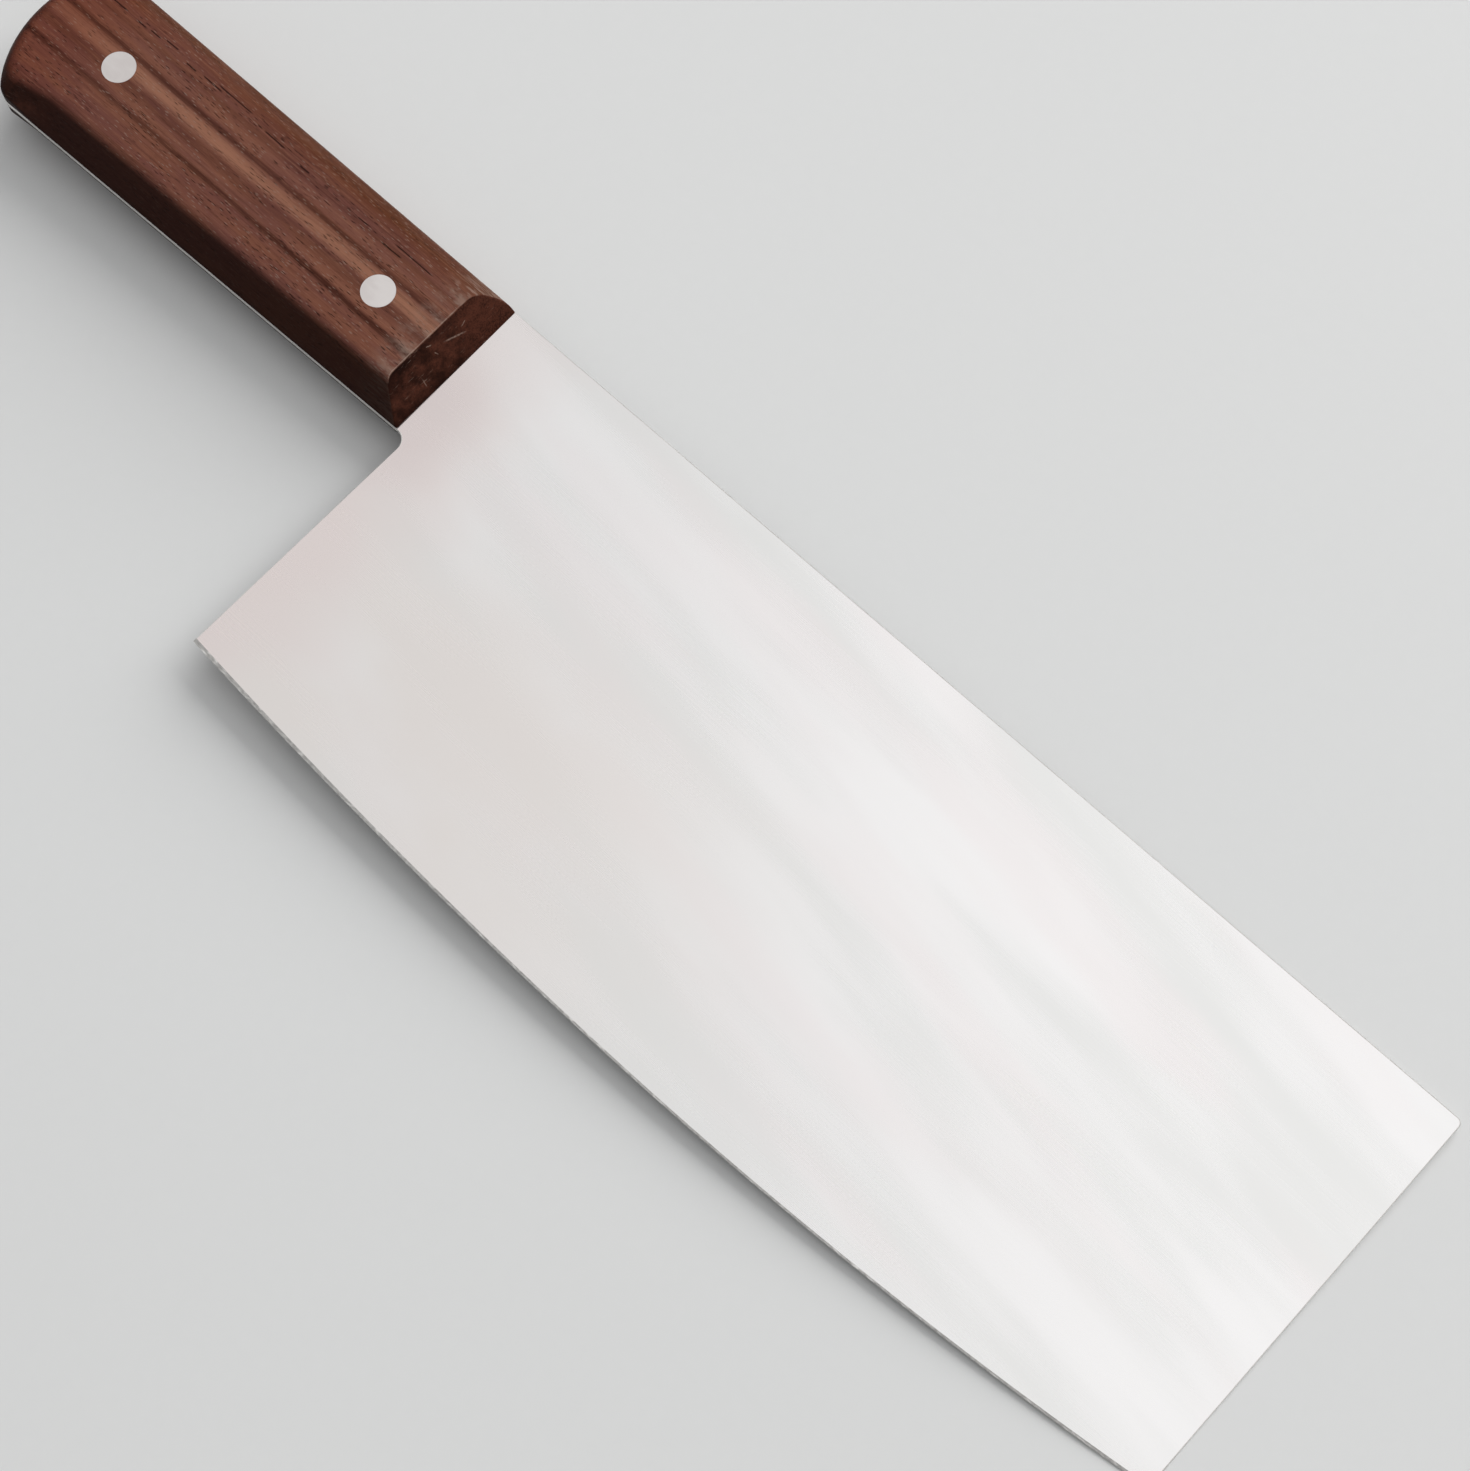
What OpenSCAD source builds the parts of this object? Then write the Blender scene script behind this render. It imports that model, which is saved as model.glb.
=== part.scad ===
// Broad kitchen cleaver with a full tang, two wooden scales and two flush cutler's rivets.
// Each module draws its piece in the knife's own coordinates: X runs from the handle's front
// to the toe, Y from the edge up to the spine, and Z out of the blade's face. Zero is where
// the scales' front foot crosses the spine, in the blade's middle plane. place() then sets
// the piece in the frame of the part, whose origin lies under the middle of the whole knife.

/* [Blade] */
// Length of the cutting edge from heel to toe
edge_l = 220; // [180:1:240]
// Height of the blade at the deepest point of its edge
belly_w = 89; // [70:1:110]
// Distance from the heel to the deepest point of the edge
belly_at = 103.2; // [70:0.1:140]
// Rise of the edge from its deepest point to the heel
heel_rise = 4.3; // [2:0.1:8]
// Rise of the edge from its deepest point to the toe
toe_rise = 7.7; // [2:0.1:15]
// Thickness of the spine at the handle
spine_t = 2.2; // [1.6:0.1:3]
// Thickness of the spine at the toe
toe_t = 2.0; // [1.5:0.1:3]
// Thickness of the ground face where it would meet the deepest point of the edge
edge_t = 0.3; // [0.1:0.05:0.6]
// Angle of the cutting bevel on each side
bevel_deg = 15; // [10:1:25]
// Radius of the toe's upper corner
toe_corner_r = 1.2; // [0.4:0.1:6]

/* [Heel] */
// Straight stretch of tang between the scales' foot and the inside corner
choil_gap = 0.1; // [0.1:0.1:4]
// Radius of the inside corner between tang and heel
choil_r = 2.6; // [1:0.1:6]
// Distance by which the heel leans back over its height
heel_lean = 0.9; // [0.1:0.1:3]

/* [Handle] */
// Length of the handle from its front foot to the butt
handle_l = 109.6; // [95:0.1:130]
// Width of the handle at its front foot
handle_w = 31.2; // [26:0.1:38]
// Width that the handle gains by the butt
handle_flare = 2.3; // [0.5:0.1:5]
// Thickness of the whole handle
handle_t = 15; // [13:0.1:20]
// Radius of the butt's arc
butt_r = 27; // [24:0.1:40]
// Radius of the butt's two corners
butt_corner_r = 3; // [1:0.1:6]
// Radius of the round between the butt and the flat of each scale
butt_edge_r = 4; // [1:0.1:5]
// Distance by which the front bevel leans back over the height of a scale
front_bevel = 5.7; // [2:0.1:9]

/* [Scale on the spine side] */
// Height of the upright land, from the middle of the blade
spine_land = 3.1; // [2.2:0.1:3.8]
// Width of the slanted flank
spine_flank = 4; // [3:0.1:6]
// Radius between the land and the flank
spine_low_r = 4.5; // [0.5:0.1:4.5]
// Radius between the flank and the flat
spine_top_r = 5; // [1:0.1:6]

/* [Scale on the edge side] */
// Height of the upright land, from the middle of the blade
under_land = 1.3; // [1.2:0.1:3]
// Width of the slanted flank
under_flank = 4.7; // [3:0.1:7]
// Radius between the land and the flank
under_low_r = 0.5; // [0.3:0.1:3]
// Radius between the flank and the flat
under_top_r = 3; // [1:0.1:5]

/* [Rivets] */
// Diameter of a rivet's flush head
rivet_d = 6.6; // [5:0.1:9]
// Thickness of a rivet's head
rivet_head_t = 3.2; // [2:0.1:4]
// Outer diameter of the hollow shank
socket_d = 4.6; // [4:0.1:4.8]
// Diameter of the solid shank inside the hollow one
pin_d = 3; // [2:0.1:3.4]
// Depth of the bore below the seat of the hollow rivet's head
bore_extra = 1.2; // [0.5:0.1:1.5]
// Space left at the open end of the hollow shank
shank_gap = 0.4; // [0.2:0.1:1]
// Distance from the front foot to the front rivet
front_rivet_at = 19; // [12:0.1:30]
// Distance from the butt to the rear rivet
butt_rivet_at = 22; // [15:0.1:35]

/* [Fits] */
// Clearance round a rivet's head
head_fit = 0.02; // [0.01:0.01:0.1]
// Clearance round the hollow shank
socket_fit = 0.1; // [0.05:0.01:0.2]
// Clearance between the solid shank and its bore
pin_fit = 0.01; // [0.01:0.01:0.05]

/* [Hidden] */
$fn = 96;
// The edge's radii are so large that its circles need many steps
ring_fn = 720;

steel_colour = [0.87, 0.86, 0.85];
wood_colour = [0.44, 0.27, 0.20];
rivet_colour = [0.84, 0.82, 0.81];

// Length by which a cutting shape passes what it cuts
over = 2;
// Distance by which a round passes the face that it eases, so that the two cross
blend = 0.02;
// Largest turn from one point of an arc to the next
arc_step = 6;
half_t = spine_t / 2;
scale_h = handle_t / 2;

// Corners of the blade
heel_top = [choil_gap + choil_r, -handle_w - choil_r];
heel_low = [heel_top[0] - heel_lean, heel_rise - belly_w];
toe_x = heel_low[0] + edge_l;
belly_x = heel_low[0] + belly_at;

// Radius of an arc that leaves the deepest point level and rises by rise over run
function arc_r(run, rise) = (run * run + rise * rise) / (2 * rise);
heel_arc_r = arc_r(belly_at, heel_rise);
toe_arc_r = arc_r(edge_l - belly_at, toe_rise);

// Slopes of the ground faces, from the spine to the edge and from the handle to the toe
face_deg = atan((spine_t - edge_t) / 2 / belly_w);
taper_deg = atan((spine_t - toe_t) / 2 / toe_x);

// The butt's arc and its two corner rounds, which touch the arc and the handle's long sides
butt_c = [butt_r - handle_l, -handle_w / 2];
flare_deg = atan(handle_flare / handle_l);
under_dir = [-cos(flare_deg), -sin(flare_deg)];
under_up = [-sin(flare_deg), cos(flare_deg)];
corner_reach = butt_r - butt_corner_r + blend;
top_dy = -butt_corner_r - butt_c[1];
top_corner = [butt_c[0] - sqrt(corner_reach * corner_reach - top_dy * top_dy), -butt_corner_r];
under_from = [0, -handle_w] + butt_corner_r * under_up - butt_c;
under_along = under_from * under_dir;
under_run = -under_along
    + sqrt(under_along * under_along - under_from * under_from + corner_reach * corner_reach);
low_corner = butt_c + under_from + under_run * under_dir;

front_rivet = [-front_rivet_at, -handle_w / 2];
butt_rivet = [butt_rivet_at - handle_l, -handle_w / 2];
seat_z = scale_h - rivet_head_t;

// The frame's origin, below the middle of the whole knife
frame_at = [(toe_x - handle_l) / 2, -belly_w / 2, -scale_h];

function unit(v) = v / norm(v);
// Direction of v in degrees, and the quarter turn anticlockwise from it
function bearing(v) = atan2(v[1], v[0]);
function left_of(v) = [-v[1], v[0]];
// Points round c from bearing a to bearing b
function arc(c, r, a, b) =
    let (steps = ceil(abs(b - a) / arc_step))
    [for (i = [0:steps]) let (t = a + (b - a) * i / steps) c + r * [cos(t), sin(t)]];
// Arc of radius r that eases the corner q of an anticlockwise outline between p and s
function round_corner(p, q, s, r) =
    let (
        from = unit(p - q),
        to = unit(s - q),
        half = acos(from * to) / 2,
        centre = q + unit(from + to) * r / sin(half),
        start = bearing(-left_of(from)) - 180
    )
    arc(centre, r, start, start + 180 - 2 * half);

module place() translate(-frame_at) children();

// Convex outline, listed anticlockwise, with each corner eased by its own radius or sharp at 0
module eased(points, radii) {
    n = len(points);
    polygon([
        for (i = [0:n - 1])
            each radii[i] == 0 ? [points[i]] :
                round_corner(points[(i + n - 1) % n], points[i], points[(i + 1) % n], radii[i])
    ]);
}

// Long sides and corners of the handle, left open past the butt's arc
module handle_sides() {
    top_out = unit(top_corner - butt_c);
    low_out = unit(low_corner - butt_c);
    past = butt_r / 2;
    polygon(concat(
        [[0, 0]],
        arc(top_corner, butt_corner_r, 90, bearing(top_out)),
        [top_corner + butt_corner_r * top_out + past * left_of(top_out)],
        [low_corner + butt_corner_r * low_out - past * left_of(low_out)],
        arc(low_corner, butt_corner_r, 360 + bearing(low_out), 270 + flare_deg),
        [[0, -handle_w]]
    ));
}

// Outline of the tang, which the scales share
module handle_outline() {
    intersection() {
        handle_sides();
        union() {
            translate(butt_c) circle(r = butt_r);
            translate([butt_c[0], -2 * handle_w]) square([handle_l, 3 * handle_w]);
        }
    }
}

// Outline of the blade in front of the scales, left square below its edge
module blade_outline() {
    low_y = -belly_w - over;
    heel_slope = heel_lean / (heel_top[1] - heel_low[1]);
    heel_foot = [heel_low[0] - heel_slope * (heel_low[1] - low_y), low_y];
    toe_top = [toe_x, 0];
    polygon(concat(
        [[0, 0], [0, -handle_w]],
        arc([choil_gap, heel_top[1]], choil_r, 90, 0),
        [heel_foot, [toe_x, low_y]],
        round_corner([toe_x, low_y], toe_top, [0, 0], toe_corner_r)
    ));
}

// All that lies below a face of the blade: level along X at turn 0, thinned towards the toe at turn 1
module below_face(turn) {
    wide = 2 * (belly_w + handle_w);
    long = 2 * (edge_l + handle_l);
    translate([0, 0, half_t])
        rotate([0, turn * taper_deg, 0])
            rotate([face_deg, 0, 0])
                translate([-long / 2, -wide, -4 * spine_t])
                    cube([long, 1.5 * wide, 4 * spine_t]);
}

// Space between the blade's two ground faces
module between_faces() {
    intersection() {
        below_face(0);
        below_face(1);
        mirror([0, 0, 1]) below_face(0);
        mirror([0, 0, 1]) below_face(1);
    }
}

// Disc with a sharp rim, whose two bevels meet on an arc of the edge
module bevelled_disc(r) {
    bevel_w = spine_t / tan(bevel_deg);
    inner_r = r - belly_w - over;
    translate([belly_x, r - belly_w, 0])
        rotate_extrude($fn = ring_fn)
            polygon([
                [inner_r, -spine_t], [r - bevel_w, -spine_t], [r, 0],
                [r - bevel_w, spine_t], [inner_r, spine_t]
            ]);
}

// Space inside the sharpened edge, with one arc towards the heel and one towards the toe
module inside_edge() {
    wide = 2 * (belly_w + over);
    intersection() {
        bevelled_disc(heel_arc_r);
        translate([-handle_l - over, -wide, -spine_t])
            cube([belly_x + handle_l + over, 2 * wide, 2 * spine_t]);
    }
    intersection() {
        bevelled_disc(toe_arc_r);
        translate([belly_x, -wide, -spine_t])
            cube([toe_x - belly_x + over, 2 * wide, 2 * spine_t]);
    }
}

module rivet_holes(d) {
    for (c = [front_rivet, butt_rivet])
        translate([c[0], c[1], -scale_h - over]) cylinder(d = d, h = handle_t + 2 * over);
}

module blade() {
    color(steel_colour) place() difference() {
        intersection() {
            translate([0, 0, -half_t]) linear_extrude(spine_t) {
                handle_outline();
                blade_outline();
            }
            between_faces();
            inside_edge();
        }
        rivet_holes(socket_d + 2 * socket_fit);
    }
}

// Section across one side of a scale: upright land, slanted flank and flat, each eased into the next
module side_section(land, flank, low_r, top_r) {
    far = 2 * (handle_w + handle_flare);
    translate([-blend, 0])
        eased(
            [[0, -scale_h], [far, -scale_h], [far, scale_h], [flank, scale_h], [0, land]],
            [0, 0, 0, top_r, low_r]
        );
}

// Bar of that section along the handle, from its side inwards
module side_bar() {
    rotate([90, 0, 90])
        translate([0, 0, -handle_l - over]) linear_extrude(handle_l + 2 * over) children();
}

// Everything on the handle's side of the front bevel
module behind_front() {
    lean = atan(front_bevel / (scale_h - half_t));
    size = 2 * (handle_l + handle_w);
    translate([0, 0, half_t])
        rotate([0, -lean, 0])
            translate([-size, -size / 2, -size / 2]) cube(size);
}

// Disc round the butt's centre whose upper rim is rounded, open towards the blade
module inside_butt() {
    height = scale_h + over + blend;
    translate(concat(butt_c, -over)) {
        rotate_extrude()
            eased([[0, 0], [butt_r, 0], [butt_r, height], [0, height]], [0, 0, butt_edge_r, 0]);
        translate([0, -2 * handle_w, 0]) cube([handle_l, 4 * handle_w, height]);
    }
}

module scale_body() {
    difference() {
        intersection() {
            linear_extrude(handle_t) handle_sides();
            mirror([0, 1, 0]) side_bar()
                side_section(spine_land, spine_flank, spine_low_r, spine_top_r);
            translate([0, -handle_w, 0]) rotate([0, 0, flare_deg]) side_bar()
                side_section(under_land, under_flank, under_low_r, under_top_r);
            behind_front();
            inside_butt();
        }
        below_face(0);
        rivet_holes(socket_d + 2 * socket_fit);
        for (c = [front_rivet, butt_rivet])
            translate([c[0], c[1], seat_z])
                cylinder(d = rivet_d + 2 * head_fit, h = rivet_head_t + over);
    }
}

module upper_scale() {
    color(wood_colour) place() scale_body();
}

module lower_scale() {
    color(wood_colour) place() mirror([0, 0, 1]) scale_body();
}

// Solid half of a rivet: a flush head over a pin that fills the other half's bore
module rivet_pin(at) {
    pin_end = -seat_z - bore_extra + shank_gap;
    color(rivet_colour) place() translate([at[0], at[1], 0]) {
        translate([0, 0, seat_z]) cylinder(d = rivet_d, h = rivet_head_t);
        translate([0, 0, pin_end]) cylinder(d = pin_d, h = seat_z - pin_end + over / 2);
    }
}

// Hollow half of a rivet: a flush head and a tube that runs through the scales and the tang
module rivet_socket(at) {
    bore_floor = -seat_z - bore_extra;
    tube_end = seat_z - shank_gap;
    color(rivet_colour) place() translate([at[0], at[1], 0]) difference() {
        union() {
            translate([0, 0, -scale_h]) cylinder(d = rivet_d, h = rivet_head_t);
            translate([0, 0, -seat_z - over / 2])
                cylinder(d = socket_d, h = tube_end + seat_z + over / 2);
        }
        translate([0, 0, bore_floor])
            cylinder(d = pin_d + 2 * pin_fit, h = tube_end - bore_floor + over);
    }
}

blade();
upper_scale();
lower_scale();
rivet_pin(front_rivet);  // front_rivet_pin
rivet_socket(front_rivet);  // front_rivet_socket
rivet_pin(butt_rivet);  // butt_rivet_pin
rivet_socket(butt_rivet);  // butt_rivet_socket
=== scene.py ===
"""Looks of a broad kitchen cleaver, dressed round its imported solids.

Lengths in the classes are millimetres in the knife's own axes: X runs from the front foot of
the handle to the toe, Y from the cutting edge up to the spine, and Z out of the upper face.
Zero is where the front foot crosses the spine in the blade's middle plane. to_frame() sets
such points in the part's frame, in metres.
"""
import logging
import math
from dataclasses import dataclass, field
from enum import Enum, IntEnum
from functools import partial, reduce

import bmesh
import bpy
import numpy as np
from mathutils import Matrix, Vector
from mathutils.geometry import tessellate_polygon


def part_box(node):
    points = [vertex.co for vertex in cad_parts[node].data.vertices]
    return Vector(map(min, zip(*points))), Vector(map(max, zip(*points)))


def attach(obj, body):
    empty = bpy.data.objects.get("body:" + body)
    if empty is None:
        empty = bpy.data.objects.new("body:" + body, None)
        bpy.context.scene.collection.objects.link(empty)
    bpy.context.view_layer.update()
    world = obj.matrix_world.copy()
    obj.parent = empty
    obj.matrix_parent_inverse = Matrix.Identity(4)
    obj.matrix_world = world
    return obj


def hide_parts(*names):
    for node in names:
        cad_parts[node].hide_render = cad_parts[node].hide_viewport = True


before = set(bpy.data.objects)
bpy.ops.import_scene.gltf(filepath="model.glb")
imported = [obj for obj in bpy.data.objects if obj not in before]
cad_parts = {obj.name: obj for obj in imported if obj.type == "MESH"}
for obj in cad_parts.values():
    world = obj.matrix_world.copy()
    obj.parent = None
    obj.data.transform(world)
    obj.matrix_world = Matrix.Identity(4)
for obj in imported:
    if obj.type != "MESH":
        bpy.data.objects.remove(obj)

log = logging.getLogger("cleaver")
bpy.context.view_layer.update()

MM = 0.001
FRAME_ORIGIN = np.array([56.1, -44.5, -7.5])
BODY = "root"
SHARP_ANGLE = math.radians(32)
MERGE_DISTANCE = 1e-7
TURN_OVER = np.array([1.0, 1.0, -1.0])

Socket = bpy.types.NodeSocket
Value = Socket | float | tuple
Pair = tuple[float, float]
Triple = tuple[float, float, float]
Colour = tuple[float, float, float, float]


# Plane geometry

def to_frame(points: np.ndarray) -> np.ndarray:
    """Knife points in the part's frame: less the frame's origin, then from mm to metres."""
    return (points - FRAME_ORIGIN) * MM


def unit(v: np.ndarray) -> np.ndarray:
    """The vector or vectors at length one: each over its own length."""
    return v / np.linalg.norm(v, axis=-1, keepdims=True)


def arc(centre: np.ndarray, radius: float, start: float, end: float, count: int) -> np.ndarray:
    """Evenly spaced points on a circle.

    Formula: centre plus radius times (cosine, sine) of an angle that runs from start to end.

    Args:
        centre: Centre of the circle.
        radius: Its radius.
        start: First angle in degrees.
        end: Last angle in degrees.
        count: Number of points.

    Returns:
        The points, one row each.
    """
    a = np.radians(np.linspace(start, end, count))
    return np.asarray(centre) + radius * np.column_stack([np.cos(a), np.sin(a)])


def fillet(before: Pair, corner: Pair, after: Pair, radius: float, count: int) -> np.ndarray:
    """Arc that rounds one corner of an outline.

    Formula: the centre lies on the corner's bisector, at the radius over the sine of half the
    corner's angle, and the arc runs between the feet of its two perpendiculars.

    Args:
        before: Point before the corner.
        corner: The corner.
        after: Point after the corner.
        radius: Radius of the arc.
        count: Number of points.

    Returns:
        The arc's points in the order before to after.
    """
    q = np.array(corner, float)
    to_before, to_after = unit(np.array(before, float) - q), unit(np.array(after, float) - q)
    half = math.acos(float(to_before @ to_after)) / 2
    centre = q + unit(to_before + to_after) * radius / math.sin(half)
    reach = radius / math.tan(half)
    first, last = q + to_before * reach - centre, q + to_after * reach - centre
    a = math.atan2(first[1], first[0])
    turn = (math.atan2(last[1], last[0]) - a + math.pi) % (2 * math.pi) - math.pi
    return arc(centre, radius, math.degrees(a), math.degrees(a + turn), count)


def path_normals(points: np.ndarray) -> np.ndarray:
    """Unit normals on the right-hand side of an open path.

    Formula: the mean direction of the two steps that meet at a point, turned clockwise.

    Args:
        points: The path's points.

    Returns:
        One normal for each point.
    """
    steps = unit(np.diff(points, axis=0))
    mean = unit(np.vstack([steps[:1], steps[:-1] + steps[1:], steps[-1:]]))
    return np.column_stack([mean[:, 1], -mean[:, 0]])


def smoothstep(x: np.ndarray, low: float, high: float) -> np.ndarray:
    """Ease from 0 at low to 1 at high: three t squared less two t cubed."""
    t = np.clip((x - low) / (high - low), 0, 1)
    return t * t * (3 - 2 * t)


def ring(centre: np.ndarray, radius: float, count: int = 72) -> np.ndarray:
    """Circle in plan, listed once round without its first point again."""
    return arc(centre, radius, 0, 360, count + 1)[:-1]


def lifted(plan: np.ndarray, height: np.ndarray | float) -> np.ndarray:
    """Points with one coordinate more: one value for all, or a value for each of them."""
    return np.column_stack([plan, np.broadcast_to(height, len(plan))])


def joined(stretches: list[np.ndarray]) -> np.ndarray:
    """One path through stretches of which each begins where the one before it ends."""
    return np.vstack([stretches[0], *(q[1:] for q in stretches[1:])])


# Meshes

class Slot(IntEnum):
    """Material slots of a piece: the blade has all three, and a scale the first alone."""

    MAIN = 0
    BEVEL = 1
    WALL = 2


class Patch(Enum):
    """Parts of a surface between which the shading breaks."""

    FACE = 0
    BEVEL = 1
    ROUND = 2
    END = 3
    INSIDE = 4


@dataclass
class Shell:
    """Closed surface gathered patch by patch before it becomes one mesh."""

    points: list[np.ndarray] = field(default_factory=list)
    faces: list[np.ndarray] = field(default_factory=list)
    finishes: list[np.ndarray] = field(default_factory=list)
    patches: list[np.ndarray] = field(default_factory=list)
    count: int = 0

    def add(self, points: np.ndarray, faces: np.ndarray, finish: Slot, patch: Patch) -> None:
        """Takes in points and the faces between them.

        Args:
            points: Corner points, one row each.
            faces: Rows of four point numbers; a triangle repeats its last one.
            finish: The material slot.
            patch: The part of the surface that they belong to.
        """
        self.points.append(points)
        self.faces.append(faces + self.count)
        self.finishes.append(np.full(len(faces), finish.value))
        self.patches.append(np.full(len(faces), patch.value))
        self.count += len(points)

    def grid(self, points: np.ndarray, finish: Slot, patch: Patch, closed: bool = False) -> None:
        """Adds a surface given as rows and columns of points.

        Args:
            points: Array of rows, columns and coordinates.
            finish: The material slot.
            patch: The part of the surface.
            closed: Whether the last column joins the first.
        """
        rows, columns = points.shape[:2]
        number = np.arange(rows * columns).reshape(rows, columns)
        if closed:
            number = np.hstack([number, number[:, :1]])
        faces = np.stack(
            [number[:-1, :-1], number[:-1, 1:], number[1:, 1:], number[1:, :-1]], axis=-1
        )
        self.add(points.reshape(-1, 3), faces.reshape(-1, 4), finish, patch)

    def fill(self, loops: list[np.ndarray], finish: Slot, patch: Patch, drop: int = 2) -> None:
        """Fills a flat outline, less its holes, with triangles.

        Args:
            loops: The outline first and then the holes, as points in space.
            finish: The material slot.
            patch: The part of the surface.
            drop: The axis that is left out of the flat view in which it is filled.
        """
        apart = [q[np.linalg.norm(q - np.roll(q, 1, axis=0), axis=1) > 1e-6] for q in loops]
        keep = [axis for axis in range(3) if axis != drop]
        flat = [[Vector((*p, 0.0)) for p in q[:, keep].tolist()] for q in apart]
        triangles = np.array(tessellate_polygon(flat))
        self.add(np.vstack(apart), np.hstack([triangles, triangles[:, -1:]]), finish, patch)

    def mirrored(self) -> "Shell":
        """The same surface turned over through the blade's middle plane: Z times minus one."""
        turned = [q * TURN_OVER for q in self.points]
        return Shell(turned, self.faces, self.finishes, self.patches, self.count)

    def build(self, name: str, materials: list[bpy.types.Material], slot: str) -> bpy.types.Object:
        """Makes the object, with its doubles merged and its faces turned outwards.

        Args:
            name: Name of the piece.
            materials: Its material slots in order.
            slot: Not used.

        Returns:
            The finished object, which rides on the knife's one body.
        """
        quads = np.vstack(self.faces)
        mesh = bpy.data.meshes.new(name)
        rows = [q[:3] if q[2] == q[3] else q for q in quads.tolist()]
        mesh.from_pydata(to_frame(np.vstack(self.points)).tolist(), [], rows)
        mesh.polygons.foreach_set("material_index", np.concatenate(self.finishes))
        kept = mesh.attributes.new("patch", "INT", "FACE")
        kept.data.foreach_set("value", np.concatenate(self.patches).astype(np.int32))
        work = bmesh.new()
        work.from_mesh(mesh)
        bmesh.ops.remove_doubles(work, verts=work.verts, dist=MERGE_DISTANCE)
        bmesh.ops.recalc_face_normals(work, faces=work.faces)
        open_edges = sum(not edge.is_manifold for edge in work.edges)
        work.to_mesh(mesh)
        work.free()
        for material in materials:
            mesh.materials.append(material)
        shade_by_patch(mesh)
        piece = bpy.data.objects.new(name, mesh)
        bpy.context.scene.collection.objects.link(piece)
        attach(piece, BODY)
        log.info("%s: %d faces, %d open edges", name, len(mesh.polygons), open_edges)
        return piece


def shade_by_patch(mesh: bpy.types.Mesh) -> None:
    """Shades a mesh smooth, with breaks at steep edges and where two patches meet.

    Args:
        mesh: The mesh, whose faces carry the number of their patch. The number goes.
    """
    mesh.polygons.foreach_set("use_smooth", np.ones(len(mesh.polygons), bool))
    mesh.set_sharp_from_angle(angle=SHARP_ANGLE)
    patch = np.zeros(len(mesh.polygons), np.int32)
    mesh.attributes["patch"].data.foreach_get("value", patch)
    sizes = np.zeros(len(mesh.polygons), np.int32)
    mesh.polygons.foreach_get("loop_total", sizes)
    edge_of = np.zeros(len(mesh.loops), np.int32)
    mesh.loops.foreach_get("edge_index", edge_of)
    low, high = np.full(len(mesh.edges), 99), np.full(len(mesh.edges), -1)
    np.minimum.at(low, edge_of, np.repeat(patch, sizes))
    np.maximum.at(high, edge_of, np.repeat(patch, sizes))
    sharp = np.zeros(len(mesh.edges), bool)
    marks = mesh.attributes.get("sharp_edge") or mesh.attributes.new("sharp_edge", "BOOLEAN", "EDGE")
    marks.data.foreach_get("value", sharp)
    marks.data.foreach_set("value", sharp | (low != high))
    mesh.attributes.remove(mesh.attributes["patch"])
    mesh.update()


# The knife's forms

@dataclass(frozen=True)
class Handle:
    """Outline and thickness that the tang and the scales share."""

    length: float = 109.6
    width: float = 31.2
    flare: float = 2.3
    half_height: float = 7.5
    butt_r: float = 27.0
    corner_r: float = 3.0
    front_rivet_at: float = 19.0
    butt_rivet_at: float = 22.0
    side_steps: int = 14
    corner_steps: int = 13
    butt_steps: int = 61
    crowded_from: float = 0.9

    @property
    def flare_angle(self) -> float:
        """Angle of the edge-side outline, in radians."""
        return math.atan(self.flare / self.length)

    @property
    def butt_centre(self) -> np.ndarray:
        """Centre of the butt's arc."""
        return np.array([self.butt_r - self.length, -self.width / 2])

    @property
    def rivets(self) -> list[np.ndarray]:
        """Centres of the two rivets in plan."""
        middle = -self.width / 2
        return [
            np.array([-self.front_rivet_at, middle]),
            np.array([self.butt_rivet_at - self.length, middle]),
        ]

    def rail(self, inset: Triple, corner_r: float) -> list[np.ndarray]:
        """Outline of the handle, or a line inside it, from the spine's foot round to the other.

        Formula: two straight sides and the butt's arc, each moved inwards, joined by corner
        arcs whose centres lie at the corner radius from a side and inside the butt's arc.

        Args:
            inset: Distance inwards from the spine side, the butt and the edge side.
            corner_r: Radius of the two corner arcs.

        Returns:
            The five stretches: side, corner, butt, corner, side.
        """
        spine_in, butt_in, under_in = inset
        centre, radius, a = self.butt_centre, self.butt_r - butt_in, self.flare_angle
        reach = radius - corner_r
        rise = -spine_in - corner_r - centre[1]
        top = np.array([centre[0] - math.sqrt(reach**2 - rise**2), -spine_in - corner_r])
        along = np.array([-math.cos(a), -math.sin(a)])
        inwards = np.array([-math.sin(a), math.cos(a)])
        foot = np.array([0.0, -self.width + under_in / math.cos(a)])
        start = foot + corner_r * inwards - centre
        run = -start @ along + math.sqrt((start @ along) ** 2 - start @ start + reach**2)
        low = centre + start + run * along
        top_turn = math.degrees(math.atan2(*(top - centre)[::-1]))
        low_turn = math.degrees(math.atan2(*(low - centre)[::-1])) % 360
        side = np.concatenate([
            np.linspace(0, self.crowded_from, self.side_steps)[:-1],
            np.linspace(self.crowded_from, 1, self.side_steps),
        ])[:, None]
        low_end = low - corner_r * inwards
        return [
            side * np.array([top[0], -spine_in]) + (1 - side) * np.array([0, -spine_in]),
            arc(top, corner_r, 90, top_turn, self.corner_steps),
            arc(centre, radius, top_turn, low_turn, self.butt_steps),
            arc(low, corner_r, low_turn, 270 + math.degrees(a), self.corner_steps),
            side * foot + (1 - side) * low_end,
        ]


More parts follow.
